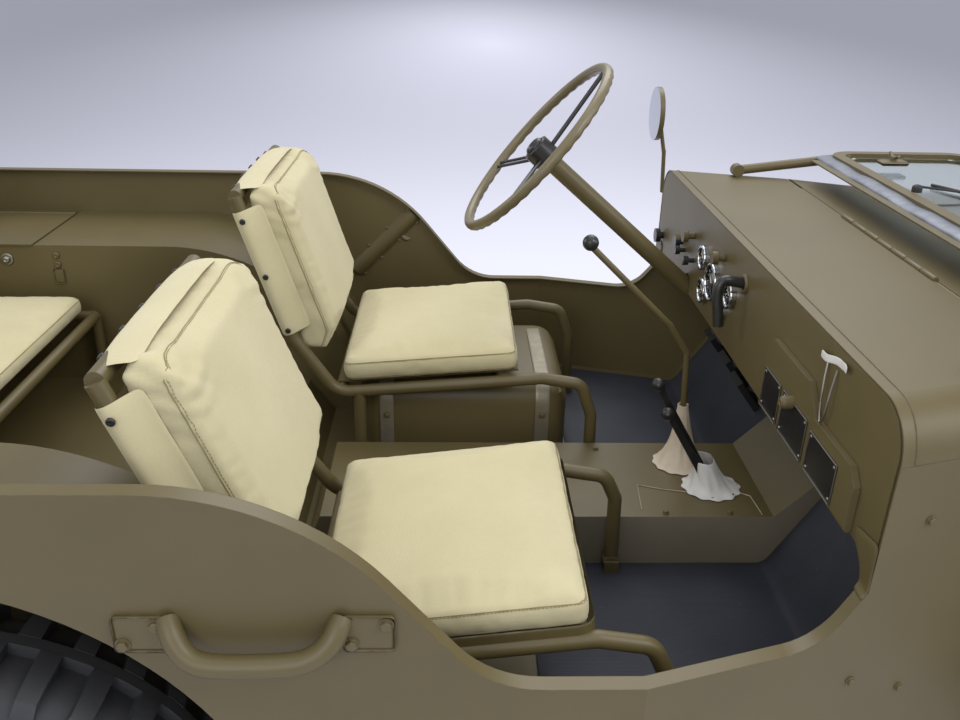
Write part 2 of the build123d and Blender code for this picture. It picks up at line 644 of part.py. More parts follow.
def fender():
    """The left front fender: flat top, dropped nose and sloping tail."""
    line = [(1530, 770), (1505, 832), (1440, FENDER_Z), (935, FENDER_Z), (650, 470)]
    under = [(1527, 770), (1502, 830), (1438, FENDER_Z - SHEET), (937, FENDER_Z - SHEET), (653, 468)]
    top = along_y(line + list(reversed(under)), FENDER_INNER, FENDER_W)
    lip = along_y(line + [(x - 8, z - FENDER_LIP) for x, z in reversed(line)], FENDER_W - SHEET, FENDER_W)
    return top + lip


def grille():
    """A pressed grille with nine slots and two lamp openings."""
    plate = slab(GRILLE_X, GRILLE_X + SHEET, -GRILLE_W, GRILLE_W, GRILLE_LOW_Z, HOOD_FRONT_Z - 2)
    plate = fillet(plate.edges().filter_by(Axis.X).group_by(Axis.Z)[-1], SHOULDER_R)
    for i in range(GRILLE_SLOTS):
        y = (i - (GRILLE_SLOTS - 1) / 2) * SLOT_STEP
        plate -= slab(GRILLE_X - 1, GRILLE_X + 10, y - SLOT_W / 2, y + SLOT_W / 2, *SLOT_Z)
    for s in (-1, 1):
        plate -= Pos(GRILLE_X, s * LAMP_Y, LAMP_Z) * Rot(0, 90, 0) * Cylinder(LAMP_R + 4, 40)
        inner, outer = sorted((s * GRILLE_WAIST_W, s * (GRILLE_W + 1)))
        plate -= slab(GRILLE_X - 1, GRILLE_X + 10, inner, outer, 0, GRILLE_WAIST_Z)
        plate += slab(GRILLE_X - PRESS_LIP, GRILLE_X + SHEET, s * GRILLE_W - 2, s * GRILLE_W + 2,
                      GRILLE_WAIST_Z, HOOD_FRONT_Z - SHOULDER_R)
    plate += slab(GRILLE_X - PRESS_LIP, GRILLE_X + SHEET, -GRILLE_WAIST_W, GRILLE_WAIST_W,
                  RAIL_TOP + RAIL_RISE_FRONT + SEAT, GRILLE_LOW_Z + SHEET)
    return plate


def headlamp():
    """The left headlamp, its bowl behind the grille and its lens ahead."""
    shape = [(0, -60), (50, -55), (LAMP_R - 6, -12), (LAMP_R + 8, -4 - SEAT), (LAMP_R + 8, -SEAT),
             (LAMP_R, -SEAT), (LAMP_R, 6), (LAMP_R - 10, 14), (0, 22)]
    return Pos(GRILLE_X, LAMP_Y, LAMP_Z) * turned(shape, (1, 0, 0))


def marker_lamp():
    """The small marker lamp under the left headlamp."""
    shape = [(0, 0), (24, 0), (26, 4), (26, 20), (17, 30), (0, 34)]
    return Pos(GRILLE_X + SHEET + SEAT, MARKER_Y, MARKER_Z) * turned(shape, (1, 0, 0))


def windscreen_frame():
    """The windscreen lying forward over the hood: legs, apron, outer tube frame and middle bar."""
    x0, x1, w, z = SCREEN_HINGE_X + SCREEN_LEG, SCREEN_HINGE_X + SCREEN_LONG, SCREEN_W, SCREEN_Z
    r = SCREEN_TUBE / 2
    ring = slab(x0, x1, -w, w, z - r, z + r)
    ring = fillet(ring.edges().filter_by(Axis.Z), 60)
    hole = slab(x0 + 2 * r, x1 - 2 * r, -w + 2 * r, w - 2 * r, z - 50, z + 50)
    hole = fillet(hole.edges().filter_by(Axis.Z), 36)
    ring -= hole
    ring += slab(x0 + r, x1 - r, -14, 14, z - r + 4, z + r - 4)
    ring += slab(x0 - 50, x0 + 4, 50 - w, w - 50, z - SHEET / 2, z + SHEET / 2)
    for s in (-1, 1):
        y = s * (w - 20)
        ring += rod((SCREEN_HINGE_X, y, SCREEN_HINGE_Z), (x0 + 30, y, z), 11)
        ring += rod((SCREEN_HINGE_X, y - 12, SCREEN_HINGE_Z), (SCREEN_HINGE_X, y + 12, SCREEN_HINGE_Z), SCREEN_EYE_R)
    return ring


def windscreen_glass():
    """Two panes between the frame's tubes and its middle bar."""
    x0, x1, w, z = SCREEN_HINGE_X + SCREEN_LEG, SCREEN_HINGE_X + SCREEN_LONG, SCREEN_W, SCREEN_Z
    r = SCREEN_TUBE
    out = []
    for s in (-1, 1):
        y0, y1 = sorted((s * (14 + SEAT), s * (w - r - SEAT)))
        pane = slab(x0 + r + SEAT, x1 - r - SEAT, y0, y1, z - GLASS_T / 2, z + GLASS_T / 2)
        corners = pane.edges().filter_by(Axis.Z).sort_by(Axis.Y)
        out.append(fillet(corners[-2:] if s > 0 else corners[:2], 50))
    return out


# Steering, controls and clocks
def steering_axis(along):
    a = math.radians(WHEEL_TILT)
    return (WHEEL_AT[0] + math.cos(a) * along, WHEEL_AT[1], WHEEL_AT[2] - math.sin(a) * along)


def steering_wheel():
    """Three-spoke wheel about its own axis."""
    ring = Torus(WHEEL_R, WHEEL_RIM_R)
    hub = Pos(0, 0, 22) * Cylinder(30, 44)
    for k in range(3):
        a = math.radians(90 + 120 * k)
        for side in (-6, 6):
            p = (-side * math.sin(a), side * math.cos(a), 26)
            q = (WHEEL_R * math.cos(a) - side * math.sin(a), WHEEL_R * math.sin(a) + side * math.cos(a), 0)
            ring += rod(p, q, 3.5)
    ring += hub
    axis = Vector(math.cos(math.radians(WHEEL_TILT)), 0, -math.sin(math.radians(WHEEL_TILT)))
    return Plane(origin=WHEEL_AT, x_dir=(0, 1, 0), z_dir=axis) * ring


def steering_column():
    """The column down to the steering box on the left rail."""
    post = rod(steering_axis(44 + SEAT), steering_axis(COLUMN_LONG), COLUMN_R)
    x, y, z = steering_axis(COLUMN_LONG)
    box = slab(x - 38, x + 70, y - 40, y + 34, RAIL_TOP + RAIL_RISE_FRONT + SEAT, z + 40)
    return post + box


LEVER_BENDS = [(11, 20, 1045), (175, 20, 888), (214, 20, 830), (226, 20, TUNNEL_Z + 30)]
TRANSFER_KNOBS = [(142, -52, 798), (158, -82, 752)]


def gear_levers():
    """The gear lever and the two flat transfer levers on the tunnel."""
    x, y, z = LEVER_BENDS[0]
    lever = Pos(x, y, z + 5) * Rot(0, 0, 180) * Sphere(15)
    for p, q in zip(LEVER_BENDS, LEVER_BENDS[1:]):
        lever += rod(p, q, 6)
    lever += Pos(LEVER_BENDS[-1][0], y, TUNNEL_Z + SEAT + 25) * Cone(42, 12, 50)
    out = [lever]
    for x, y, z in TRANSFER_KNOBS:
        bar = along_y([(x, z), (x + 14, z - 4), (274, TUNNEL_Z + 8), (274, TUNNEL_Z + SEAT),
                       (252, TUNNEL_Z + SEAT), (252, TUNNEL_Z + 8)], y - 3, y + 3)
        bar += Pos(x + 5, y, z) * Rot(0, 0, 180) * Sphere(13)
        out.append(bar)
    return out


# Pedals as y, x, z of the pad's near edge
PEDALS = [(430, 378, 690), (300, 378, 690), (205, 378, 682)]
PEDAL_W = 64


def pedals():
    """Three pedal pads on short arms that end at the toe board."""
    slope = math.atan2(TOE_TOP_Z - FLOOR_Z, FIREWALL_X - TOE_X)
    normal = Vector(-math.sin(slope), 0, math.cos(slope))
    out = []
    for y, x, z in PEDALS:
        pad = along_y([(x, z), (x + 46, z - 62), (x + 58, z - 54), (x + 12, z + 8)], y - PEDAL_W / 2, y + PEDAL_W / 2)
        mid = Vector(x + 29, y, z - 27)
        gap = ((mid.Z - FLOOR_Z) - (mid.X - TOE_X) * math.tan(slope)) * math.cos(slope)
        foot = mid - normal * (gap - SEAT)
        out.append(pad + rod(tuple(mid), tuple(foot), 8))
    return out


# Clocks as y, z, radius; lamps, switches and knobs as y, z, head radius, depth
CLOCKS = [(137, 934, 38), (216, 959, 26), (193, 896, 26), (21, 951, 26), (65, 903, 26)]
CLOCK_DEEP = 9
CONTROLS = [(318, 974, 13, 26), (92, 1000, 13, 26), (597, 891, 17, 20), (413, 933, 15, 18),
            (379, 923, 10, 24), (302, 924, 10, 24)]


def instruments():
    """Clock cases with sunk faces, hooded panel lamps, switches and pull knobs on the dash."""
    face = DASH_X - SEAT
    out = []
    for y, z, r in CLOCKS:
        case = rod((face - CLOCK_DEEP, y, z), (face, y, z), r)
        out.append(case - rod((face - CLOCK_DEEP - 1, y, z), (face - CLOCK_DEEP + 4, y, z), r - 4))
    for y, z, head, deep in CONTROLS:
        knob = rod((face - deep, y, z), (face - deep + 11, y, z), head)
        out.append(knob + rod((face - deep + 5, y, z), (face, y, z), head / 2))
    return out


# Seats
SIDE_TUBE = [(-650, 1100), (-560, 812), (-478, 690), (-52, 725), (30, 712), (55, 640)]
PASSENGER_SHIFT = [(6, -22), (30, -30), (40, -40), (8, -26), (4, -26), (0, 0)]
SEATS = {"driver": (DRIVER_Y, SIDE_TUBE),
         "passenger": (PASSENGER_Y, [(x + dx, z + dz) for (x, z), (dx, dz) in zip(SIDE_TUBE, PASSENGER_SHIFT)])}


def rail_at(line, x):
    """Height of a seat's side rail at x."""
    (x0, z0), (x1, z1) = line[2], line[3]
    return z0 + (z1 - z0) * (x - x0) / (x1 - x0)


def seat_frame(who):
    """Bent tube frame: back uprights, seat rails, front legs, cross tubes and a sheet pan."""
    y, line = SEATS[who]
    r = TUBE_D / 2
    w = SIDE_Y
    rear_x, front_x = line[2][0] + 8, line[3][0] - 83
    frame = None
    for s in (-1, 1):
        points = [(x, y + s * w, z) for x, z in line] + [(PIVOT_X, y + s * w, PIVOT_Z + 12)]
        side = tube(points, r, [40, 50, 40, 30, 12])
        leg_x = line[2][0] + 46
        side += rod((leg_x, y + s * w, FLOOR_Z + SEAT), (leg_x, y + s * w, rail_at(line, leg_x)), r)
        side += rod((PIVOT_X, y + s * w - 13, PIVOT_Z), (PIVOT_X, y + s * w + 13, PIVOT_Z), 15)
        side -= rod((PIVOT_X, y + s * w - 14, PIVOT_Z), (PIVOT_X, y + s * w + 14, PIVOT_Z), PIN_R + SEAT)
        frame = side if frame is None else frame + side
    frame += rod((line[0][0], y - w, line[0][1]), (line[0][0], y + w, line[0][1]), r)
    for x in (rear_x, front_x):
        frame += rod((x, y - w, rail_at(line, x)), (x, y + w, rail_at(line, x)), r)
    lift = r - 0.5
    pan = [(x, rail_at(line, x) + lift + dz) for x, dz in
           ((rear_x - 6, 0), (front_x + 34, 0), (front_x + 34, PAN_T), (rear_x - 6, PAN_T))]
    return frame + along_y(pan, y - w + 20, y + w - 20)


def seat_brackets():
    """A channel bracket on the floor for each front leg, both seats."""
    out = []
    for y in (DRIVER_Y, PASSENGER_Y):
        for s in (-1, 1):
            at = y + s * SIDE_Y
            lug = slab(PIVOT_X - 14, PIVOT_X + 14, at - 18, at + 18, FLOOR_Z + SEAT, PIVOT_Z + 8)
            lug -= slab(PIVOT_X - 15, PIVOT_X + 15, at - 13.5, at + 13.5, FLOOR_Z + 3, PIVOT_Z + 9)
            lug += rod((PIVOT_X, at - 17, PIVOT_Z), (PIVOT_X, at + 17, PIVOT_Z), PIN_R)
            out.append(lug)
    return out


def cushion(who):
    """A seat cushion on its pan, tilted with the rails."""
    y, line = SEATS[who]
    w = SEAT_HALF + 10
    x0, x1 = line[2][0] + 10, line[3][0] - 48
    z0, z1 = (rail_at(line, x) + TUBE_D / 2 + PAN_T for x in (x0, x1))
    pad = along_y([(x0, z0), (x1, z1), (x1, z1 + CUSHION_T), (x0, z0 + CUSHION_T)], y - w, y + w)
    return fillet(pad.edges(), 18)


def seat_back(who):
    """A seat back's pad in front of its tubes, drawn along and ahead of them."""
    y, line = SEATS[who]
    w = SIDE_Y - TUBE_D / 2 - SEAT
    top, low = Vector(line[0][0], 0, line[0][1]), Vector(line[1][0], 0, line[1][1])
    down = (low - top).normalized()
    ahead = Vector(-down.Z, 0, down.X)
    spots = [(6, 78), (-15, 20), (32, 13.5), (314, 0), (370, -5), (384, 40), (309, 82)]
    return along_y([((top + down * a + ahead * b).X, (top + down * a + ahead * b).Z) for a, b in spots], y - w, y + w)


def rear_seat():
    """The rear seat's tube frame: three cross tubes, two side tubes and two front legs."""
    w, z, r = REAR_SEAT_HALF, REAR_SEAT_Z, 12
    front = TUB_REAR_X + 415
    frame = None
    for x in (TUB_REAR_X + 90, TUB_REAR_X + 250, front):
        bar = rod((x, -w, z), (x, w, z), r)
        frame = bar if frame is None else frame + bar
    for s in (-1, 1):
        frame += rod((TUB_REAR_X + 90, s * w, z), (front, s * w, z), r)
        frame += rod((front, s * w, FLOOR_Z + RAIL_RISE_REAR + SEAT), (front, s * w, z), r)
    return frame


def rear_pad(x0, x1, z0, z1):
    """A pad of the rear seat, its x given from the tub's rear."""
    return fillet(slab(TUB_REAR_X + x0, TUB_REAR_X + x1, -REAR_PAD_HALF, REAR_PAD_HALF, z0, z1).edges(), 18)


def fuel_tank():
    x0, x1, y0, y1, z0, z1 = TANK
    tank = slab(x0, x1, y0, y1, z0, z1)
    return fillet(tank.edges().filter_by(Axis.Y) + tank.edges().filter_by(Axis.X), 24)


def grab_handle():
    """The side grab handle: two plates and a bar."""
    y = TUB_W + SEAT
    out = None
    x0, x1 = HANDLE_X
    for x in HANDLE_X:
        plate = slab(x - 30, x + 30, y, y + 4, HANDLE_Z - 25, HANDLE_Z + 25)
        out = plate if out is None else out + plate
    low, high = HANDLE_Z - 23, HANDLE_Z + 13
    bar = tube([(x0, y - 10, high), (x0 + 66, y + 32, low), (x1 - 66, y + 32, low), (x1, y - 10, high)], 12, 30)
    return out + (bar - slab(x0 - 50, x1 + 50, y - 60, y, low - 50, high + 50))


def jerry_can():
    """A fuel can with pressed crosses, three carrying bars and a cap, and the tray that it stands on."""
    deep, wide, tall = CAN
    x1 = TUB_REAR_X - 20
    x0, low = x1 - deep, 590
    mid, top = (x0 + x1) / 2, low + tall
    can = slab(x0, x1, CAN_Y - wide / 2, CAN_Y + wide / 2, low, top)
    can = fillet(can.edges().filter_by(Axis.X), 40)
    slope = math.degrees(math.atan2(wide, tall))
    for x in (x0, x1):
        for s in (-1, 1):
            can -= Pos(x, CAN_Y, low + tall / 2) * Rot(s * slope, 0, 0) * Box(8, 14, tall * 0.8)
    for x in (mid - 45, mid, mid + 45):
        y0, y1, high = CAN_Y - 62, CAN_Y + 62, top + 26
        can += tube([(x, y0, top - 3), (x, y0, high), (x, y1, high), (x, y1, top - 3)], 6, 12)
    can += rod((mid, CAN_Y + 118, top - 5), (mid, CAN_Y + 118, top + 24), 22)
    tray = slab(x0 - 4, TUB_REAR_X - SEAT, CAN_Y - wide / 2 - 4, CAN_Y + wide / 2 + 4, low - 4, low - SEAT)
    return [can, tray]


def spare_mount():
    """The boss that carries the spare wheel."""
    return rod((TUB_REAR_X - SEAT, SPARE_Y, SPARE_Z), (SPARE_X + SEAT, SPARE_Y, SPARE_Z), 60)


def rear_fittings():
    """Two bumperettes, the tow hook on the rear cross member, tail lamps and reflectors."""
    out = []
    for s in (-1, 1):
        y = s * BUMPERETTE_Y
        out.append(slab(TUB_REAR_X - 94, TUB_REAR_X + 6 - SEAT, y - BUMPERETTE_W / 2, y + BUMPERETTE_W / 2, 430, 490))
    face = TUB_REAR_X + 6 - SEAT
    hook = slab(face - 10, face, -45, 45, HOOK_Z - 40, HOOK_Z + 28)
    hook += rod((face - 60, 0, HOOK_Z), (face, 0, HOOK_Z), 24)
    hook += tube([(face - 50, 0, HOOK_Z - 10), (face - 112, 0, HOOK_Z - 10), (face - 112, 0, HOOK_Z + 34),
                  (face - 84, 0, HOOK_Z + 44)], 13, 16)
    for y, z, r, deep in ((TAIL_LAMP_Y, TAIL_LAMP_Z, 32, 28), (TAIL_LAMP_Y, TAIL_LAMP_Z + 78, 24, 8)):
        lamp = rod((TUB_REAR_X - SEAT - deep, y, z), (TUB_REAR_X - SEAT, y, z), r)
        out += both(lamp)
    return out + [hook]


def exhaust():
    """Front pipe, silencer outside the right rail, and a tail pipe ahead of the rear wheel."""
    y, z = EXHAUST_Y, EXHAUST_Z
    x0, x1 = SILENCER_X
    pipe = tube([(820, ENGINE[2] - SEAT, 560), (820, -240, 560), (800, -240, 345), (480, -250, 335),
                 (350, y, 340), (x1, y, z)], EXHAUST_R, 30)
    silencer = rod((x0, y, z), (x1, y, z), SILENCER_R)
    tail = tube([(x0, y, z), (x0 - 70, y, z), (x0 - 100, -700, z - 5)], EXHAUST_R, 30)
    hanger = slab(-150, -130, y, -RAIL_Y - SEAT, z - 10, z + 10)
    return pipe + silencer + tail + hanger


def gearbox():
    """Gearbox and transfer case, one block each, on their skid plate between the rails."""
    under = RAIL_TOP - RAIL_H - SEAT
    low = TRANSFER_CASE[4]
    plate = slab(*SKID_X, -RAIL_Y, RAIL_Y, low - SKID_T, low)
    for s in (-1, 1):
        plate += slab(*SKID_X, s * (RAIL_Y - 20) - 20, s * (RAIL_Y - 20) + 20, low - SKID_T, under)
    return slab(*GEARBOX) + slab(*TRANSFER_CASE) + plate


def round_mirror():
    """The round mirror on its bent arm, with a foot on the cowl's side."""
    stem = rod((295, 700, 975), (289, 700, 1081), 5)
    stem += rod((295, 702, 977), (345, half_width(345) + 4.3, 977), 5)
    head = Pos(262, 700, 1170) * Rot(0, 90, 0) * Cylinder(63.5, 12)
    arm = rod((289, 700, 1075), (268, 700, 1170), 5)
    return stem + head + arm


# Build everything
save("chassis_frame", chassis())
save("front_bumper", front_bumper())
save("rear_fittings", *rear_fittings(), spare_mount())
save("engine_block", slab(*ENGINE) + slab(*ENGINE_MOUNT))
save("radiator", slab(*RADIATOR))
save("gearbox", gearbox())
save("front_axle", front_axle())
save("rear_axle", rear_axle())
save("leaf_springs", *springs())
shaft_ends = [(TRANSFER_CASE[1] + SEAT, FRONT_AXLE_X - PINION_LONG - SEAT),
              (REAR_AXLE_X + PINION_LONG + SEAT, TRANSFER_CASE[0] - SEAT)]
save("prop_shafts", *[rod((x0, DIFF_Y, TYRE_R), (x1, DIFF_Y, TYRE_R), SHAFT_R) for x0, x1 in shaft_ends])
save("exhaust", exhaust())
save("floor", floor())
side = body_side()
save("body_side_left", side)
save("body_side_right", mirror(side, about=Plane.XZ))
save("rear_panel", rear_panel())
save("wheelhouses", *both(wheelhouse()))
lid = box_lid()
save("toolbox_lid_left", lid)
save("toolbox_lid_right", mirror(lid, about=Plane.XZ))
save("cowl", cowl())
save("dash", dash())
save("glove_door", glove_door())
save("instruments", *instruments())
save("hood", hood())
save("grille", grille())
save("headlamps", *both(headlamp()), *both(marker_lamp()))
fender_left = fender()
save("fender_left", fender_left)
save("fender_right", mirror(fender_left, about=Plane.XZ))
save("windscreen_frame", windscreen_frame())
save("windscreen_glass", *windscreen_glass())
save("steering_wheel", steering_wheel())
save("steering_column", steering_column())
save("gear_levers", *gear_levers())
save("pedals", *pedals())
save("fuel_tank", fuel_tank())
save("driver_seat_frame", seat_frame("driver"))
save("seat_brackets", *seat_brackets())
save("driver_cushion", cushion("driver"))
save("driver_back", seat_back("driver"))
save("passenger_seat_frame", seat_frame("passenger"))
save("passenger_cushion", cushion("passenger"))
save("passenger_back", seat_back("passenger"))
save("rear_seat_frame", rear_seat())
save("rear_cushion", rear_pad(90, 405, 747.3, 800))
save("rear_back", rear_pad(22.3, 76.3, 806, 1080))
save("grab_handles", *both(grab_handle()))
save("jerry_can", *jerry_can())
save("mirror", round_mirror())
save("spare_tyre", tyre(SPARE_X, SPARE_Y, SPARE_Z, (1, 0, 0)))
save("spare_wheel", wheel(SPARE_X, SPARE_Y, SPARE_Z, (-1, 0, 0), False))
knuckle_left = knuckle()
save("knuckle_left", knuckle_left)
save("knuckle_right", mirror(knuckle_left, about=Plane.XZ))
save("tie_rod", tie_rod())
for place, x, side in (("front_left", FRONT_AXLE_X, 1), ("front_right", FRONT_AXLE_X, -1),
                       ("rear_left", REAR_AXLE_X, 1), ("rear_right", REAR_AXLE_X, -1)):
    save("tyre_" + place, tyre(x, side * WHEEL_Y, TYRE_R))
    save("wheel_" + place, wheel(x, side * WHEEL_Y, TYRE_R, (0, side, 0), True))
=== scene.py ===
"""Quarter-ton army 4x4 car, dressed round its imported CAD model."""
import math

import bmesh
import bpy
from mathutils import Matrix, Vector


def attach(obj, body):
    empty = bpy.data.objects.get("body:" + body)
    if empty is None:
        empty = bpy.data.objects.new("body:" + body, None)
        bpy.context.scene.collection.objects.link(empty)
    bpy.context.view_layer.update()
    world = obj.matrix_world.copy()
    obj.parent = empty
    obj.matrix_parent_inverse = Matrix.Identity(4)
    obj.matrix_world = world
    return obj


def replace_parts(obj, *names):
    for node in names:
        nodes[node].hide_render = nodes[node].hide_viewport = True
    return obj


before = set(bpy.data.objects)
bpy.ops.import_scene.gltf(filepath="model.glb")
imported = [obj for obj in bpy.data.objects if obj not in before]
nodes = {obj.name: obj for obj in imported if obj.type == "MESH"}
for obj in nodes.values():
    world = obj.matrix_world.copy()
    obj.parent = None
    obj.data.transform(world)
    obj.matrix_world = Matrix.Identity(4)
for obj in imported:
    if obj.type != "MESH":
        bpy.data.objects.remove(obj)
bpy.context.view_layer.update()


# Studio: a photographer's pale floor, large soft boxes and the camera.
# The camera stands at the passenger's side, above the seats, with a 33 mm lens.
def colour(code):
    """sRGB hex to the linear RGBA that sockets take."""
    parts = [int(code[i : i + 2], 16) / 255 for i in (1, 3, 5)]
    return [c / 12.92 if c <= 0.04045 else ((c + 0.055) / 1.055) ** 2.4 for c in parts] + [1.0]


def add(tree, kind, settings=None, links=None):
    """Adds a node, sets its sockets or properties, and links sockets into it."""
    new = tree.nodes.new(kind)
    for key, value in (settings or {}).items():
        if isinstance(key, int) or key in new.inputs:
            new.inputs[key].default_value = value
        else:
            setattr(new, key, value)
    for key, source in (links or {}).items():
        tree.links.new(source, new.inputs[key])
    return new


def material(name):
    """A new material: itself, its node tree, its shader and its Object coordinates."""
    made = bpy.data.materials.new(name)
    made.use_nodes = True
    tree = made.node_tree
    place = add(tree, "ShaderNodeTexCoord").outputs["Object"]
    return made, tree, tree.nodes["Principled BSDF"], place


def alone():
    """Object mode with nothing selected."""
    if bpy.context.object and bpy.context.object.mode != "OBJECT":
        bpy.ops.object.mode_set(mode="OBJECT")
    bpy.ops.object.select_all(action="DESELECT")


scene = bpy.context.scene
scene.view_settings.view_transform = "Standard"
CAMERA_AT, LENS_MM = (-0.2393, -1.5132, 1.5310), 32.96
yaw, pitch, roll = 0.0347, 0.4378, 0.0217
look = Vector((math.sin(yaw) * math.cos(pitch), math.cos(yaw) * math.cos(pitch), -math.sin(pitch)))
level = Vector((math.cos(yaw), -math.sin(yaw), 0))
above = level.cross(look)
side = math.cos(roll) * level + math.sin(roll) * above
above = math.cos(roll) * above - math.sin(roll) * level
alone()
bpy.ops.object.camera_add(location=CAMERA_AT, rotation=Matrix((side, above, -look)).transposed().to_euler())
camera = bpy.context.object
camera.data.sensor_width = 36
camera.data.lens = LENS_MM
camera.data.clip_start = 0.02
scene.camera = camera

alone()
bpy.ops.mesh.primitive_circle_add(vertices=96, radius=60, fill_type="NGON", location=(0, 0, 0))
ground = bpy.context.object
ground.name = "studio_floor"
floor_paint, tree, shader, place = material("matt floor paint")
shader.inputs["Base Color"].default_value = colour("#CFD0DA")
shader.inputs["Roughness"].default_value = 0.75
# A pool of light on the backdrop, seen by the camera and in reflections, not cast on the car.
POOL_SHIFT, POOL_SPREAD, POOL_STRENGTH = (-0.05, -0.45, 0.0), (0.118, 0.030, 0.05), 0.62
pool_place = add(tree, "ShaderNodeMapping", {"Location": POOL_SHIFT, "Scale": POOL_SPREAD}, {"Vector": place})
pool = add(tree, "ShaderNodeTexGradient", {"gradient_type": "QUADRATIC_SPHERE"},
           {"Vector": pool_place.outputs["Vector"]})
rays = add(tree, "ShaderNodeLightPath")
seen = add(tree, "ShaderNodeMath", {"operation": "ADD"},
           {0: rays.outputs["Is Camera Ray"], 1: rays.outputs["Is Glossy Ray"]})
seen = add(tree, "ShaderNodeMath", {"operation": "ADD", "use_clamp": True},
           {0: seen.outputs[0], 1: rays.outputs["Is Transmission Ray"]})
lit = add(tree, "ShaderNodeMath", {"operation": "MULTIPLY"}, {0: seen.outputs[0], 1: pool.outputs["Fac"]})
glow = add(tree, "ShaderNodeMath", {"operation": "MULTIPLY", 1: POOL_STRENGTH}, {0: lit.outputs[0]})
shader.inputs["Emission Color"].default_value = colour("#E6E4F6")
tree.links.new(glow.outputs[0], shader.inputs["Emission Strength"])
ground.data.materials.append(floor_paint)

world = bpy.data.worlds.new("studio air")
scene.world = world
world.use_nodes = True
air = world.node_tree.nodes["Background"]
air.inputs["Color"].default_value = colour("#E3E6EE")
air.inputs["Strength"].default_value = 0.66


def soft_box(name, at, aim, size, power):
    """A square white soft box at a point, turned to face another."""
    alone()
    turn = (Vector(aim) - Vector(at)).to_track_quat("-Z", "Y").to_euler()
    bpy.ops.object.light_add(type="AREA", location=at, rotation=turn)
    lamp = bpy.context.object
    lamp.name = name
    lamp.data.size = size
    lamp.data.energy = power


soft_box("key_box", (0.6, 2.6, 4.2), (0, 0, 0.7), 3.0, 96)
soft_box("fill_box", (-1.6, -4.2, 2.9), (-0.2, 0, 0.8), 2.6, 56)
soft_box("roof_box", (-0.5, -0.7, 4.4), (-0.3, -0.2, 0.5), 3.4, 30)
soft_box("shoulder_box", (2.4, -2.3, 4.0), (0.5, -0.5, 0.9), 1.5, 62)
soft_box("rear_box", (-4.6, 1.2, 2.6), (-0.6, 0, 0.7), 2.2, 50)
soft_box("nose_box", (4.8, -1.2, 2.4), (1.0, 0, 0.7), 2.2, 50)


# Painted sheet steel: satin olive drab enamel, sprayed and baked over primer.
# Low sheen with faint orange peel, patchy fading, and pale rubbed edges.
def steel_paint(name, body="#584E30", faded="#685C3B", rough=0.42, wear=0.5):
    """Baked enamel: two tones in 180 mm patches, rubbed pale where an edge turns."""
    made, tree, shader, place = material(name)
    patches = add(tree, "ShaderNodeTexNoise", {"Scale": 5.5, "Detail": 4.0, "Roughness": 0.6},
                  {"Vector": place})
    mixed = add(tree, "ShaderNodeMix", {"data_type": "RGBA", 6: colour(body), 7: colour(faded)},
                {"Factor": patches.outputs["Fac"]})
    # The edge mask is where a normal rounded over 1.6 mm departs from the flat one.
    rounded = add(tree, "ShaderNodeBevel", {"samples": 3, "Radius": 0.0016})
    flat = add(tree, "ShaderNodeNewGeometry")
    bend = add(tree, "ShaderNodeVectorMath", {"operation": "DOT_PRODUCT"},
               {0: rounded.outputs["Normal"], 1: flat.outputs["Normal"]})
    scuffs = add(tree, "ShaderNodeTexNoise", {"Scale": 38.0, "Detail": 5.0, "Roughness": 0.7},
                 {"Vector": place})
    edge = add(tree, "ShaderNodeMapRange",
               {"From Min": 0.985, "From Max": 0.88, "To Min": 0.0, "To Max": wear},
               {"Value": bend.outputs["Value"]})
    patchy = add(tree, "ShaderNodeMapRange", {"From Min": 0.5, "From Max": 0.7},
                 {"Value": scuffs.outputs["Fac"]})
    rub = add(tree, "ShaderNodeMath", {"operation": "MULTIPLY"},
              {0: edge.outputs["Result"], 1: patchy.outputs["Result"]})
    worn = add(tree, "ShaderNodeMix", {"data_type": "RGBA", 7: colour("#A39A80")},
               {"Factor": rub.outputs[0], 6: mixed.outputs[2]})
    tree.links.new(worn.outputs[2], shader.inputs["Base Color"])
    gloss = add(tree, "ShaderNodeMapRange", {"To Min": rough - 0.05, "To Max": rough + 0.08},
                {"Value": patches.outputs["Fac"]})
    tree.links.new(gloss.outputs["Result"], shader.inputs["Roughness"])
    # Orange peel about 2.5 mm across, a few microns high.
    peel = add(tree, "ShaderNodeTexNoise", {"Scale": 400.0, "Detail": 1.0}, {"Vector": place})
    relief = add(tree, "ShaderNodeBump", {"Strength": 0.06, "Distance": 0.0004},
                 {"Height": peel.outputs["Fac"], "Normal": rounded.outputs["Normal"]})
    tree.links.new(relief.outputs["Normal"], shader.inputs["Normal"])
    return made


body_paint = steel_paint("olive drab enamel")


def dress(node, finish):
    """Gives a carried-over CAD node its finish."""
    data = nodes[node].data
    data.materials.clear()
    data.materials.append(finish)


for node in nodes:
    dress(node, body_paint)


# Seat cushions: cotton duck covers over firm pads, boxed with a band round the side.
# Each top panel is sewn to its band with a raised seam and one row of stitches.
def pick(kind, where):
    """Selects in edit mode the faces, edges or vertices whose middle and normal pass a test."""
    shape = bmesh.from_edit_mesh(bpy.context.object.data)
    bpy.ops.mesh.select_all(action="DESELECT")
    for item in getattr(shape, kind):
        if kind == "faces":
            middle, normal = item.calc_center_median(), item.normal
        elif kind == "edges":
            start, end = item.verts[0].co, item.verts[1].co
            middle, normal = (start + end) / 2, (end - start).normalized()
        else:
            middle, normal = item.co, item.normal
        if where(middle, normal):
            item.select_set(True)
    if kind != "faces":
        shape.select_flush(True)
    bmesh.update_edit_mesh(bpy.context.object.data)


def only(piece):
    """Leaves one piece selected, and active."""
    alone()
    bpy.context.view_layer.objects.active = piece
    piece.select_set(True)


def fixed():
    """Puts the active object's place, turn and size into its mesh."""
    bpy.ops.object.transform_apply(location=True, rotation=True, scale=True)


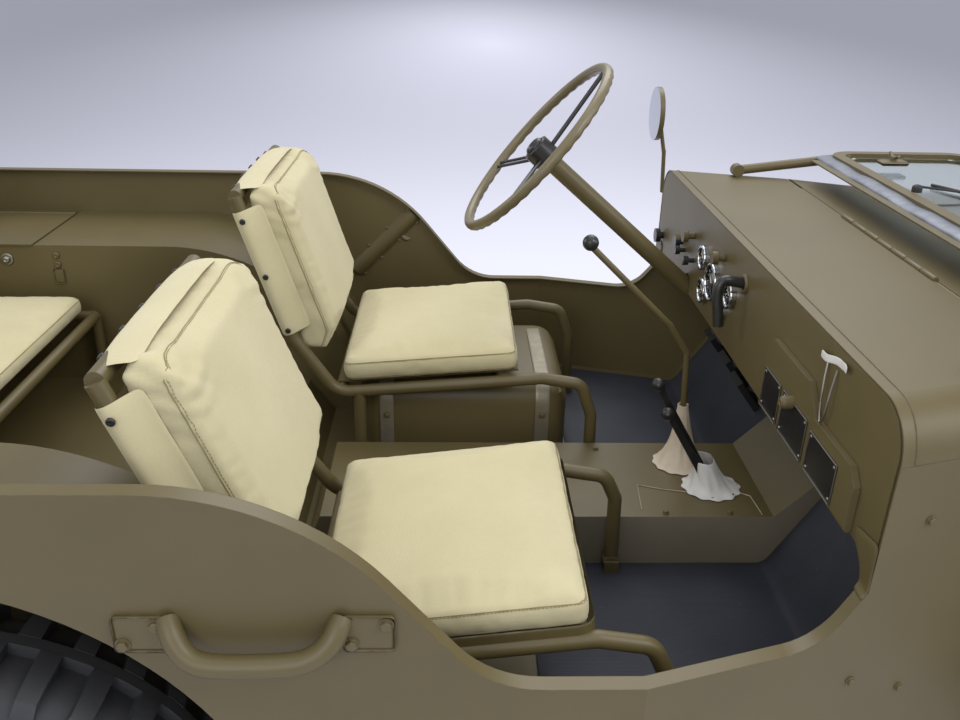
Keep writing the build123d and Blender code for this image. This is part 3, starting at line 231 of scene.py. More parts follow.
def settle(name, finish, body, angle=35):
    """Ends a piece: its place goes into its mesh, then name, shading, material and body."""
    if bpy.context.object.mode != "OBJECT":
        bpy.ops.object.mode_set(mode="OBJECT")
    piece = bpy.context.object
    fixed()
    bpy.ops.object.shade_smooth_by_angle(angle=math.radians(angle))
    piece.name = name
    piece.data.materials.clear()
    piece.data.materials.append(finish)
    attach(piece, body)
    return piece


def modify(piece, kind, **settings):
    """Adds a modifier and applies it."""
    only(piece)
    step = piece.modifiers.new(kind.lower(), kind)
    for key, value in settings.items():
        setattr(step, key, value)
    bpy.ops.object.modifier_apply(modifier=step.name)


def merge(name, pieces):
    """Joins finished meshes into the first one."""
    alone()
    for piece in pieces:
        piece.select_set(True)
    bpy.context.view_layer.objects.active = pieces[0]
    bpy.ops.object.join()
    pieces[0].name = name
    return pieces[0]


def joined(name, parts, finish, body, angle=35):
    """Several parts as one finished piece."""
    merge(name, parts)
    return settle(name, finish, body, angle=angle)


def canvas_cloth(name, body="#D3CAA6", shaded="#BFB48C"):
    """Cotton duck: matt, 1 mm ribs of paired yarn both ways, uneven slubs, faded in soft patches."""
    made, tree, shader, place = material(name)
    leaning = add(tree, "ShaderNodeMapping", {"Rotation": (0.0, 0.3, 0.0)}, {"Vector": place})
    ribs = []
    for axis in ("X", "Y", "Z"):
        bands = {"wave_type": "BANDS", "bands_direction": axis, "Scale": 320.0, "Distortion": 2.5,
                 "Detail": 2.0}
        rib = add(tree, "ShaderNodeTexWave", bands, {"Vector": leaning.outputs["Vector"]})
        ribs.append(rib.outputs["Fac"])
    pair = add(tree, "ShaderNodeMath", {"operation": "ADD"}, {0: ribs[0], 1: ribs[1]})
    weave = add(tree, "ShaderNodeMath", {"operation": "ADD"}, {0: pair.outputs[0], 1: ribs[2]})
    slubs = add(tree, "ShaderNodeTexNoise", {"Scale": 260.0, "Detail": 4.0, "Roughness": 0.7},
                {"Vector": place})
    faded = add(tree, "ShaderNodeTexNoise", {"Scale": 6.0, "Detail": 4.0, "Roughness": 0.6},
                {"Vector": place})
    grain = add(tree, "ShaderNodeMath", {"operation": "MULTIPLY_ADD", 1: 0.5, 2: -0.25},
                {0: slubs.outputs["Fac"]})
    total = add(tree, "ShaderNodeMath", {"operation": "ADD", "use_clamp": True},
                {0: faded.outputs["Fac"], 1: grain.outputs[0]})
    dye = add(tree, "ShaderNodeMix", {"data_type": "RGBA", 6: colour(shaded), 7: colour(body)},
              {"Factor": total.outputs[0]})
    tree.links.new(dye.outputs[2], shader.inputs["Base Color"])
    shader.inputs["Roughness"].default_value = 0.9
    shader.inputs["Specular IOR Level"].default_value = 0.2
    shader.inputs["Sheen Weight"].default_value = 0.2
    height = add(tree, "ShaderNodeMath", {"operation": "MULTIPLY_ADD", 1: 2.0},
                 {0: slubs.outputs["Fac"], 2: weave.outputs[0]})
    relief = add(tree, "ShaderNodeBump", {"Strength": 0.3, "Distance": 0.0003}, {"Height": height.outputs[0]})
    tree.links.new(relief.outputs["Normal"], shader.inputs["Normal"])
    return made


duck = canvas_cloth("cotton duck")
thread = canvas_cloth("cotton thread", "#A0936C", "#897E59")


def rounded_block(size, corner, edge, along="Z", at=(0, 0, 0)):
    """A block whose corners along one axis are rounded, then every other edge."""
    alone()
    bpy.ops.mesh.primitive_cube_add(size=1, location=(0, 0, 0))
    block = bpy.context.object
    block.scale = size
    fixed()
    bpy.ops.object.mode_set(mode="EDIT")
    lane = Vector((along == "X", along == "Y", along == "Z"))
    pick("edges", lambda middle, way: abs(way.dot(lane)) > 0.9)
    bpy.ops.mesh.bevel(offset=corner, segments=6)
    pick("faces", lambda middle, way: abs(way.dot(lane)) > 0.9)
    bpy.ops.mesh.region_to_loop()
    bpy.ops.mesh.bevel(offset=edge, segments=3)
    bpy.ops.object.mode_set(mode="OBJECT")
    block.data.transform(Matrix.Translation(at))
    return block


COVER_MESH, STUFFING_PRESSURE, LAST_FRAME = 0.006, 4.0, 16


def inflate(pad, cap, hold):
    """Fills a cover as its stuffing does: even mesh, cloth pressure, and no point moves past the cap."""
    modify(pad, "REMESH", mode="VOXEL", voxel_size=COVER_MESH)
    rest = [v.co.copy() for v in pad.data.vertices]
    held = pad.vertex_groups.new(name="sewn")
    for v in pad.data.vertices:
        grip = hold(v.co)
        if grip:
            held.add([v.index], grip, "REPLACE")
    cloth = pad.modifiers.new("cover", "CLOTH")
    cloth.settings.quality = 4
    cloth.settings.use_pressure = True
    cloth.settings.uniform_pressure_force = STUFFING_PRESSURE
    cloth.settings.effector_weights.gravity = 0
    cloth.settings.vertex_group_mass = "sewn"
    cloth.settings.shrink_min = -0.012
    cloth.point_cache.frame_start, cloth.point_cache.frame_end = 1, LAST_FRAME
    for count in range(1, LAST_FRAME + 1):
        scene.frame_set(count)
    only(pad)
    bpy.ops.object.modifier_apply(modifier=cloth.name)
    scene.frame_set(1)
    for v, was in zip(pad.data.vertices, rest):
        moved = v.co - was
        if moved.length > cap:
            v.co = was + moved * (cap / moved.length)
    pad.vertex_groups.clear()
    modify(pad, "SMOOTH", factor=0.5, iterations=4)


def copy_of(piece, mirror=False):
    """A copy with its own mesh, or its mirror image across the car."""
    twin = piece.copy()
    twin.data = piece.data.copy()
    scene.collection.objects.link(twin)
    if mirror:
        twin.data.transform(Matrix.Scale(-1, 4, (0, 1, 0)))
        twin.data.flip_normals()
    return twin


def wire(name, points, radius, smooth=True, sides=3, ring=False):
    """A round cord, rod or welt through points, as a mesh."""
    alone()
    bpy.ops.curve.primitive_nurbs_path_add(location=(0, 0, 0))
    curve = bpy.context.object
    curve.name = name
    curve.data.splines.clear()
    run = curve.data.splines.new("NURBS" if smooth else "POLY")
    run.points.add(len(points) - 1)
    for point, at in zip(run.points, points):
        point.co = (*at, 1)
    run.use_cyclic_u = ring
    if smooth:
        run.order_u = 3
        run.use_endpoint_u = not ring
    curve.data.dimensions = "3D"
    curve.data.resolution_u = 4
    curve.data.bevel_depth = radius
    curve.data.bevel_resolution = sides
    curve.data.use_fill_caps = True
    bpy.ops.object.convert(target="MESH")
    return bpy.context.object


def snapped(piece, points, lift=0.0):
    """The points of a piece's surface nearest to these, lifted along its normal."""
    out = []
    for at in points:
        _, spot, normal, _ = piece.closest_point_on_mesh(Vector(at))
        out.append(spot + normal * lift)
    return out


STITCH_LONG, STITCH_STEP, STITCH_R = 0.0035, 0.0052, 0.0006


def stitches(path):
    """One row of stitches: small spindles laid along a closed path."""
    alone()
    bpy.ops.mesh.primitive_cone_add(vertices=5, radius1=STITCH_R, radius2=STITCH_R, depth=STITCH_LONG)
    seed = bpy.context.object
    corners = [v.co.copy() for v in seed.data.vertices]
    faces = [list(f.vertices) for f in seed.data.polygons]
    points, polys, carry = [], [], 0.0
    for start, end in zip(path, path[1:] + path[:1]):
        run = end - start
        length = run.length
        if length < 1e-6 or length > 0.08:
            continue
        turn = run.to_track_quat("Z", "Y")
        along = carry
        while along < length:
            middle = start + run * (along / length)
            first = len(points)
            points += [middle + turn @ c for c in corners]
            polys += [[first + i for i in f] for f in faces]
            along += STITCH_STEP
        carry = along - length
    seed.data.clear_geometry()
    seed.data.from_pydata(points, [], polys)
    return seed


def loop_round(half, corner, z, steps=7, side=14):
    """Points round a rectangle with rounded corners, at a height."""
    points = []
    for sx, sy, first in ((1, 1, 0), (-1, 1, 90), (-1, -1, 180), (1, -1, 270)):
        cx, cy = sx * half.x - sx * corner, sy * half.y - sy * corner
        for i in range(steps):
            a = math.radians(first + 90 * i / (steps - 1))
            points.append(Vector((cx + corner * math.cos(a), cy + corner * math.sin(a), z)))
    full = []
    for a, b in zip(points, points[1:] + points[:1]):
        cuts = side if (b - a).length > 0.05 else 1
        full += [a.lerp(b, i / cuts) for i in range(cuts)]
    return full


def box_cushion(name, middle, size, tilt, cap, body, replaced, crown=0.009, corner=0.018):
    """A boxed cushion: its pad, two raised seams and their stitches, tilted nose up."""
    pad = rounded_block((size[0] - 0.008, size[1] - 0.008, size[2] - 0.006), corner, 0.007)
    seam_z = size[2] / 2 - 0.006
    half = Vector(size) / 2
    seam_hold, base_hold = 0.93, 0.3

    def sewn(at):
        near = abs(abs(at.z) - seam_z)
        inside = min(half.x - abs(at.x), half.y - abs(at.y))
        if near < 0.004 and inside < 0.012:
            return seam_hold
        return base_hold if at.z < -seam_z else 0

    inflate(pad, cap, sewn)
    for v in pad.data.vertices:
        if v.co.z > 0:
            reach = (1 - (v.co.x / half.x) ** 2) * (1 - (v.co.y / half.y) ** 2)
            v.co.z += crown * max(reach, 0) ** 0.7 * v.co.z / half.z
    rows = []
    for z in (seam_z, -seam_z):
        seam = snapped(pad, loop_round(half, corner, z), 0.0002)
        rows.append(wire("seam", seam, 0.0009, ring=True, sides=1))
        inner = loop_round(half, corner, z - math.copysign(0.0035, z))
        rows.append(stitches(snapped(pad, inner, 0.0004)))
    sewing = merge("sewing", rows)
    place = Matrix.Translation(middle) @ Matrix.Rotation(math.radians(-tilt), 4, "Y")
    for piece, title, finish in ((pad, name, duck), (sewing, name + "_stitches", thread)):
        piece.data.transform(place)
        only(piece)
        settle(title, finish, body, angle=60)
    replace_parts(pad, replaced)


box_cushion("driver_seat_cushion", (-0.284, 0.330, 0.751), (0.368, 0.432, 0.057), 4.7, 0.008,
            "root", "driver_cushion")
box_cushion("passenger_seat_cushion", (-0.238, -0.402, 0.7195), (0.376, 0.432, 0.057), 7.1, 0.008,
            "passenger_seat", "passenger_cushion")
box_cushion("rear_seat_cushion", (-1.2425, 0.0, 0.7725), (0.315, 0.802, 0.050), 0.0, 0.005,
            "root", "rear_cushion", crown=0.003)
box_cushion("rear_seat_back", (-1.4422, 0.0, 0.943), (0.274, 0.802, 0.050), 90.0, 0.005,
            "rear_seat_back", "rear_back", crown=0.003)


# Seat backs: a duck cover over a pad, drawn round the frame's top and side tubes
# and closed behind with flaps and black lacquered snap fasteners.
def prism(outline, low, high):
    """A flat outline of (x, z) points given its width along Y."""
    alone()
    bpy.ops.mesh.primitive_circle_add(vertices=len(outline), fill_type="NGON", location=(0, 0, 0))
    block = bpy.context.object
    for v, (x, z) in zip(block.data.vertices, outline):
        v.co = (x, low, z)
    bpy.ops.object.mode_set(mode="EDIT")
    bpy.ops.mesh.select_all(action="SELECT")
    bpy.ops.mesh.extrude_region_move(TRANSFORM_OT_translate={"value": (0, high - low, 0)})
    bpy.ops.mesh.select_all(action="SELECT")
    bpy.ops.mesh.normals_make_consistent(inside=False)
    bpy.ops.object.mode_set(mode="OBJECT")
    return block


def sheet_of(name, rows, thick):
    """A cloth or sheet-metal skin through rows of points, with its thickness."""
    alone()
    bpy.ops.mesh.primitive_grid_add(x_subdivisions=len(rows[0]) - 1, y_subdivisions=len(rows) - 1)
    skin = bpy.context.object
    skin.name = name
    for v, at in zip(skin.data.vertices, [p for row in rows for p in row]):
        v.co = at
    modify(skin, "SOLIDIFY", thickness=thick, offset=0)
    bpy.ops.object.mode_set(mode="EDIT")
    bpy.ops.mesh.select_all(action="SELECT")
    bpy.ops.mesh.normals_make_consistent(inside=False)
    bpy.ops.object.mode_set(mode="OBJECT")
    modify(skin, "SUBSURF", levels=1, render_levels=1)
    return skin


def dome(name, at, way, radius, high, ring=0.0):
    """A low round head, such as a snap, rivet or button, seated on a surface."""
    alone()
    turn = Vector(way).to_track_quat("Z", "Y")
    middle = Vector(at) + turn @ Vector((0, 0, high / 2))
    bpy.ops.mesh.primitive_cylinder_add(vertices=14, radius=radius, depth=high, location=middle,
                                        rotation=turn.to_euler())
    head = bpy.context.object
    head.name = name
    bpy.ops.object.mode_set(mode="EDIT")
    pick("faces", lambda middle, normal: normal.z > 0.9)
    bpy.ops.mesh.bevel(offset=min(high * 0.8, radius * 0.6), segments=3)
    if ring:
        pick("faces", lambda middle, normal: normal.z > 0.98)
        bpy.ops.mesh.inset(thickness=ring, depth=-high * 0.3)
    bpy.ops.object.mode_set(mode="OBJECT")
    fixed()
    return head


def lacquer(name, body="#17171A", rough=0.28):
    """Black lacquered or enamelled small parts: glossy, with dust in random patches."""
    made, tree, shader, place = material(name)
    dust = add(tree, "ShaderNodeTexNoise", {"Scale": 60.0, "Detail": 4.0}, {"Vector": place})
    tone = add(tree, "ShaderNodeMix", {"data_type": "RGBA", 6: colour(body), 7: colour("#34332F")},
               {"Factor": dust.outputs["Fac"]})
    tree.links.new(tone.outputs[2], shader.inputs["Base Color"])
    gloss = add(tree, "ShaderNodeMapRange", {"To Min": rough * 0.8, "To Max": rough * 1.5},
                {"Value": dust.outputs["Fac"]})
    tree.links.new(gloss.outputs["Result"], shader.inputs["Roughness"])
    return made


black_lacquer = lacquer("black lacquer")

# The pad in side view, its half width, and the line of the frame's side tubes.
BACK = [(-0.571, 1.117), (-0.634, 1.117), (-0.554, 0.826), (-0.545, 0.786), (-0.498, 0.782), (-0.480, 0.828)]
BACK_HALF, BACK_CORNER = 0.197, 0.034
TUBE_TOP, TUBE_LOW = Vector((-0.650, 0, 1.100)), Vector((-0.560, 0, 0.812))
FACE_LOW = Vector((-0.480, 0, 0.828))
face = Vector((BACK[0][0] - BACK[-1][0], 0, BACK[0][1] - BACK[-1][1])).normalized()
FACE_OUT = Vector((face.z, 0, -face.x))
FLAP_THICK = 0.0024
SNAP = (0.0058, 0.0035, 0.0018)


def ahead_of_face(at):
    """How far a point lies in front of the pad's front face."""
    return (at - FACE_LOW).dot(FACE_OUT)


def back_pad():
    """The stuffed pad: front panel full, back held flat, gathered where its top corners are sewn."""
    pad = prism(BACK, -BACK_HALF, BACK_HALF)
    bpy.ops.object.mode_set(mode="EDIT")
    pick("edges", lambda middle, way: middle.z > 1.11 and abs(way.x) > 0.9)
    bpy.ops.mesh.bevel(offset=BACK_CORNER, segments=7)
    bpy.ops.object.mode_set(mode="OBJECT")

    def sewn(at):
        ahead = ahead_of_face(at)
        if ahead < -0.045:
            return 0.6
        return 0.93 if -0.014 < ahead < -0.004 and BACK_HALF - abs(at.y) < 0.01 else 0

    inflate(pad, 0.007, sewn)
    fullness, low, height = 0.008, 0.75, 0.37
    for v in pad.data.vertices:
        if ahead_of_face(v.co) > -0.02:
            up = math.sin(math.pi * min(max((v.co.z - low) / height, 0), 1))
            v.co += FACE_OUT * fullness * max(0, 1 - (v.co.y / BACK_HALF) ** 2) * max(0, up)
    gathered_at, reach, depth = Vector((0.175, 1.090)), 0.075, 0.0015
    for v in pad.data.vertices:
        out = abs(v.co.y)
        gather = max(0.0, 1 - (Vector((out, v.co.z)) - gathered_at).length / reach)
        swell = math.sin(300 * v.co.z + 120 * v.co.x + 60 * out) + 0.6 * math.sin(170 * (v.co.z - out))
        ripple = 0.0004 * math.sin(38 * v.co.z + 25 * v.co.y) * math.sin(21 * v.co.y + 9 * v.co.z)
        v.co += v.normal * (depth * gather * swell + ripple)
    pad.data.update()
    return pad


def back_seam():
    """The seam's run: up a side, round the corner, across the top, down, and along the bottom."""
    half, corner, behind = BACK_HALF - 0.004, 0.040, 0.015
    x, z = -0.5575, 1.074
    line = [Vector((-0.4960, half, 0.788)), Vector((-0.4870, half, 0.808))]
    line += [Vector((-0.480, half, 0.828)).lerp(Vector((x, half, z)), i / 8) for i in range(9)]
    for i in range(1, 7):
        a = math.radians(90 * i / 6)
        y = half - corner + corner * math.cos(a)
        line.append(Vector((x - 0.0125 * math.sin(a), y, z + corner * math.sin(a))))
    line += [Vector((-0.570, half - corner - i * 0.0385, 1.114)) for i in range(1, 4)]
    line += [Vector((p.x, -p.y, p.z)) for p in reversed(line)]
    line += [Vector((-0.4960, y, 0.788)) for y in (-0.12, -0.04, 0.04, 0.12)]
    # The front panel wraps over the edge, so its seam lies 15 mm behind the face.
    return [p.lerp(q, i / 3) - FACE_OUT * behind for p, q in zip(line, line[1:] + line[:1]) for i in range(3)]


def top_flap():
    """The flap over the top tube and down behind it, and its five snaps."""
    line = [(-0.604, 1.1200), (-0.622, 1.1215), (-0.640, 1.1190), (-0.655, 1.1155), (-0.6645, 1.1060),
            (-0.6665, 1.0920), (-0.6640, 1.0700), (-0.6590, 1.0480)]
    half, droop, steps = 0.190, 0.009, 12
    rows = []
    for x, z in line:
        row = []
        for i in range(steps + 1):
            fall = droop * (abs(i - 6) / 6) ** 4 if z > 1.08 else -0.001 * math.sin(i * 2.1)
            y = -half + 2 * half * i / steps
            row.append(Vector((x + 0.0008 * math.sin(9 * i + 60 * z), y, z - fall)))
        rows.append(row)
    flap = sheet_of("top_flap", rows, FLAP_THICK)
    snaps = [dome("snap", (-0.6626, y, 1.1085 - droop * (abs(y) / half) ** 4), (-0.75, 0, 0.66), *SNAP)
             for y in (-0.152, -0.076, 0.0, 0.076, 0.152)]
    return flap, snaps


def side_flap(s):
    """The flap round one upright tube, by its place ahead of the tube and its y, and its three snaps."""
    wrap = ((0.040, 0.1990), (0.030, 0.2010), (0.020, 0.2090), (0.010, 0.2200), (0.0, 0.2262),
            (-0.010, 0.2225), (-0.0160, 0.2110), (-0.0150, 0.1950), (-0.006, 0.178))
    rows = []
    for i in range(9):
        c = TUBE_TOP.lerp(TUBE_LOW, 0.085 + 0.875 * i / 8)
        sway = 0.0012 * math.sin(i * 1.7 + s)
        rows.append([Vector((c.x + dx, s * (y + sway * (dx > 0)), c.z + dx * 0.28)) for dx, y in wrap])
    flap = sheet_of("side_flap", rows, FLAP_THICK)
    snaps = []
    for t in (0.15, 0.53, 0.92):
        c = TUBE_TOP.lerp(TUBE_LOW, t)
        snaps.append(dome("snap", (c.x + 0.001, s * 0.2270, c.z), (0, s, 0), *SNAP))
    return flap, snaps


def seat_back(name, top, lean, body, replaced):
    """One front seat's back, moved so that its top tube lies at a point: pad, seams, flaps and snaps."""
    pad = back_pad()
    trace = back_seam()
    seam = wire("seam", snapped(pad, trace, 0.0004), 0.0009, ring=True, sides=1)
    row = stitches(snapped(pad, [p + FACE_OUT * 0.0035 for p in trace], 0.0003))
    cover, snaps = [pad], []
    for flap, closed in (top_flap(), side_flap(-1), side_flap(1)):
        cover.append(flap)
        snaps += closed
    leaned = Matrix.Rotation(math.radians(-lean), 4, "Y")
    place = Matrix.Translation(top) @ leaned @ Matrix.Translation(-TUBE_TOP)
    for parts, ending, finish, slot in ((cover, "", duck, "canvas"),
                                        ([seam, row], "_stitches", thread, "canvas"),
                                        (snaps, "_snaps", black_lacquer, "black")):
        merge(name + ending, parts).data.transform(place)
        settle(name + ending, finish, body, angle=60)
    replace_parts(pad, replaced)


seat_back("driver_seat_back", (-0.650, 0.330, 1.100), 0, "root", "driver_back")
seat_back("passenger_seat_back", (-0.644, -0.402, 1.078), 3.7, "passenger_seat", "passenger_back")


# Tyres: black rubber cross-country tyres, 6.00-16, with the plain bar lugs that grip
# either way. Each side has its own row of bars, staggered across the centre rib.
def rubber(name, body="#2B2C31", dusty="#4A4A4B", rough=0.72):
    """Black rubber: matt, greyed by bloom and dust."""
    made, tree, shader, place = material(name)
    bloom = add(tree, "ShaderNodeTexNoise", {"Scale": 14.0, "Detail": 6.0, "Roughness": 0.65},
                {"Vector": place})
    tone = add(tree, "ShaderNodeMix", {"data_type": "RGBA", 6: colour(body), 7: colour(dusty)},
               {"Factor": bloom.outputs["Fac"]})
    tree.links.new(tone.outputs[2], shader.inputs["Base Color"])
    shader.inputs["Roughness"].default_value = rough
    grit = add(tree, "ShaderNodeTexNoise", {"Scale": 700.0, "Detail": 2.0}, {"Vector": place})
    relief = add(tree, "ShaderNodeBump", {"Strength": 0.2, "Distance": 0.0004},
                 {"Height": grit.outputs["Fac"]})
    tree.links.new(relief.outputs["Normal"], shader.inputs["Normal"])
    return made


tyre_rubber = rubber("tyre rubber")
ROLL_R, HALF_W, BEAD_R, LUGS = 0.362, 0.080, 0.2035, 32
ROOT_R = ROLL_R - 0.019


def spun(name, section, steps=72):
    """A closed (radius, y) section spun round the Y axis."""
    alone()
    bpy.ops.mesh.primitive_circle_add(vertices=len(section), fill_type="NOTHING", location=(0, 0, 0))
    shape = bpy.context.object
    for v, (r, y) in zip(shape.data.vertices, section):
        v.co = (r, y, 0)
    bpy.ops.object.mode_set(mode="EDIT")
    bpy.ops.mesh.select_all(action="SELECT")
    bpy.ops.mesh.spin(steps=steps, angle=2 * math.pi, center=(0, 0, 0), axis=(0, 1, 0))
    bpy.ops.mesh.select_all(action="SELECT")
    bpy.ops.mesh.remove_doubles(threshold=0.00005)
    bpy.ops.mesh.normals_make_consistent(inside=False)
    bpy.ops.object.mode_set(mode="OBJECT")
    shape.name = name
    return shape


half_section = [(BEAD_R, 0.0595), (BEAD_R + 0.026, 0.0600), (BEAD_R + 0.034, 0.0700),
                (ROLL_R - 0.098, HALF_W - 0.002), (ROLL_R - 0.085, HALF_W), (ROLL_R - 0.060, HALF_W - 0.002),
                (ROLL_R - 0.036, 0.0690), (ROOT_R - 0.006, 0.055), (ROOT_R, 0.030)]
carcass = spun("carcass", [(r, -y) for r, y in half_section] + [(ROOT_R + 0.001, 0.0)] + half_section[::-1])
bars = []
BAR, BAR_FACE = (0.034, 0.066, 0.034), 0.86
SHOULDER, RIB_HALF = 0.030, 0.0085
for s in (-1, 1):
    alone()
    bpy.ops.mesh.primitive_cube_add(size=1, location=(0, 0, 0))
    bar = bpy.context.object
    bar.scale = BAR
    fixed()
    bpy.ops.object.mode_set(mode="EDIT")
    pick("edges", lambda middle, way: abs(way.y) > 0.9 and middle.z > 0)
    bpy.ops.mesh.bevel(offset=0.0045, segments=2)
    for cut, normal in (((0, s * 0.012, 0), (0, 1, 0)), ((0, 0, -0.004), (0, 0, 1))):
        bpy.ops.mesh.select_all(action="SELECT")
        bpy.ops.mesh.bisect(plane_co=cut, plane_no=normal)
    bpy.ops.object.mode_set(mode="OBJECT")
    # The bar runs from the centre rib over the shoulder and part way down the wall.
    for v in bar.data.vertices:
        out = s * v.co.y + BAR[1] / 2
        narrow = 1 - 0.12 * out / BAR[1]
        if v.co.z > 0:
            fall = 0.0 if out < SHOULDER else 0.014 * ((out - SHOULDER) / 0.036) ** 2
            height, narrow, reach = ROLL_R - 0.0005 - fall, narrow * BAR_FACE, 0.0715
        else:
            height, reach = ROOT_R - 0.022 - (0.020 if out > 0.045 else 0), 0.0690
        v.co = (v.co.x * narrow, s * (RIB_HALF + out * (reach / BAR[1])), height)
    for i in range(LUGS):
        twin = copy_of(bar)
        twin.data.transform(Matrix.Rotation(2 * math.pi / LUGS * (i + (0.5 if s > 0 else 0.0)), 4, "Y"))
        bars.append(twin)
    bpy.data.objects.remove(bar)
rib = spun("rib", [(ROOT_R - 0.004, -0.0105), (ROLL_R - 0.001, -RIB_HALF), (ROLL_R - 0.0005, 0.0),
                   (ROLL_R - 0.001, RIB_HALF), (ROOT_R - 0.004, 0.0105)])
wall_rings = []
for r in (BEAD_R + 0.045, ROLL_R - 0.075):
    for y in (-HALF_W + 0.003, HALF_W - 0.003):
        proud = y + math.copysign(0.0018, y)
        wall_rings.append(spun("ring", [(r - 0.004, y * 0.985), (r, proud), (r + 0.004, y * 0.985)]))
tyre = merge("tyre", [carcass, rib] + wall_rings + bars)
# Each wheel: its corner, the middle of its hub, and the way its outer side faces.
AXLE_X, HUB_Y = {"front": 1.140, "rear": -0.892}, {"left": 0.6225, "right": -0.6225}
WHEELS = [(end + "_" + hand, (x, y, ROLL_R), (0, math.copysign(1, y), 0))
          for end, x in AXLE_X.items() for hand, y in HUB_Y.items()]
WHEELS.append(("spare", (-1.600, -0.300, 0.866), (-1, 0, 0)))
for corner, hub, way in WHEELS:
    spare = corner == "spare"
    name = "spare_tyre" if spare else "tyre_" + corner
    fitted = copy_of(tyre)
    if spare:
        fitted.data.transform(Matrix.Rotation(math.radians(90), 4, "Z"))
    fitted.data.transform(Matrix.Translation(hub))
    only(fitted)
    settle(name + "_treaded", tyre_rubber, "root" if spare else "wheel_" + corner, angle=40)
    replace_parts(fitted, name)
bpy.data.objects.remove(tyre)


# Plated, glazed and enamelled finishes for the small parts.
# Each breaks its tone and gloss with fine noise, because nothing on a used car is even.
def finish_of(name, body, worn, rough, metallic=0.0, grain=60.0, relief=0.0, glassy=0.0):
    """One finish: two tones mixed by noise, its gloss following the same noise."""
    made, tree, shader, place = material(name)
    patches = add(tree, "ShaderNodeTexNoise", {"Scale": grain, "Detail": 5.0, "Roughness": 0.6},
                  {"Vector": place})
    tone = add(tree, "ShaderNodeMix", {"data_type": "RGBA", 6: colour(body), 7: colour(worn)},
               {"Factor": patches.outputs["Fac"]})
    tree.links.new(tone.outputs[2], shader.inputs["Base Color"])
    gloss = add(tree, "ShaderNodeMapRange", {"To Min": rough * 0.7, "To Max": min(1.0, rough * 1.4)},
                {"Value": patches.outputs["Fac"]})
    tree.links.new(gloss.outputs["Result"], shader.inputs["Roughness"])
    shader.inputs["Metallic"].default_value = metallic
    shader.inputs["Transmission Weight"].default_value = glassy
    if relief:
        bumps = add(tree, "ShaderNodeBump", {"Strength": relief, "Distance": 0.0006},
                    {"Height": patches.outputs["Fac"]})
        tree.links.new(bumps.outputs["Normal"], shader.inputs["Normal"])
    return made


# Metals: plated rims shine like a mirror, bare steel is scratched grey, and the exhaust is dull rust.
chrome = finish_of("chromium plate", "#D2D4DA", "#B4B7BD", 0.12, metallic=1.0)
bare_steel = finish_of("bare steel", "#A7A6A0", "#7F7B70", 0.38, metallic=1.0, relief=0.2)
rusted_steel = finish_of("rusted exhaust steel", "#5A4334", "#3A322C", 0.8, metallic=0.4, grain=30.0,
                         relief=0.5)
# Enamels: flat and dark on the chassis, grey on the engine, stoved black, and scraped pale where boots rub;
# that pale enamel is also painted light on the tunnel's near side.
chassis_paint = steel_paint("chassis enamel", "#4C4634", "#5E5741", rough=0.55, wear=0.25)
engine_paint = finish_of("engine enamel", "#5B6163", "#4A4E50", 0.45, grain=9.0)
stove_black = finish_of("stove black", "#1B1B1D", "#2A2927", 0.5, grain=25.0)
worn_and_painted_light_enamel = steel_paint("boot-worn enamel with painted light", "#6F6752", "#918A7B", rough=0.5, wear=0.6)
# Glass: clear and faintly green in the windscreen, milky in the lamps, red behind, silvered in the mirror.
window_glass = finish_of("window glass", "#E6F0EE", "#DCE9E6", 0.04, glassy=1.0)
lens_glass = finish_of("lens glass", "#E9ECEE", "#D5D9DC", 0.10, glassy=0.6)
red_lens = finish_of("red glass", "#7A1510", "#9A2018", 0.12)
mirror_face = finish_of("silvered glass", "#DDE1E6", "#CBD0D6", 0.03, metallic=1.0)
dial_black = finish_of("dial face", "#0F1012", "#1A1B1E", 0.12)
# Soft parts: matt creased leather, chalky proofed cloth, and a seal strip with a dull sheen.
cream_leather = finish_of("cream leather", "#DFD2BE", "#C6B69E", 0.62, grain=45.0, relief=0.35)
white_cloth = finish_of("white proofed cloth", "#E6E3DD", "#C9C6C2", 0.75, grain=30.0, relief=0.4)
grey_seal = finish_of("grey seal strip", "#868B96", "#50555F", 0.35, grain=45.0, relief=0.5)


def tint(node, finish, where):
    """Gives a further finish to the faces of a CAD node whose middle and normal pass a test."""
    data = nodes[node].data
    data.materials.append(finish)
    for face in data.polygons:
        if where(face.center, face.normal):
            face.material_index = len(data.materials) - 1


for node in ("chassis_frame", "front_axle", "rear_axle", "leaf_springs", "prop_shafts", "gearbox",
             "knuckle_left", "knuckle_right", "tie_rod"):
    dress(node, chassis_paint)
for node, finish in (("engine_block", engine_paint), ("radiator", stove_black), ("exhaust", rusted_steel),
                     ("windscreen_glass", window_glass), ("pedals", stove_black)):
    dress(node, finish)
# The tunnel's near side is painted paler: partly boot wear, partly painted light standing in for the fill and
# the floor's reflection falling on it.
tint("floor", worn_and_painted_light_enamel, lambda at, way: way.y < -0.7 and -0.176 < at.y < -0.165 and at.x > -0.48)
tint("mirror", mirror_face, lambda at, way: way.x < -0.9 and at.z > 1.1)
tint("headlamps", lens_glass, lambda at, way: at.x > 1.4165)
tint("rear_fittings", red_lens, lambda at, way: way.x < -0.9 and abs(at.y) > 0.6)
tint("instruments", chrome, lambda at, way: at.z < 0.987 and at.y < 0.25 and at.y > -0.01)
tint("instruments", dial_black, lambda at, way: 0.2795 < at.x < 0.2815 and at.y < 0.25 and at.z < 0.98)
tint("instruments", black_lacquer, lambda at, way: at.z < 0.94 and at.y > 0.28)
tint("gear_levers", black_lacquer, lambda at, way: at.z > 1.034 and at.x < 0.03)
tint("gear_levers", black_lacquer, lambda at, way: at.y < -0.03)
HUB = Vector((-0.069, 0.337, 1.157))
tint("steering_wheel", black_lacquer, lambda at, way: (at - HUB).length < 0.192)


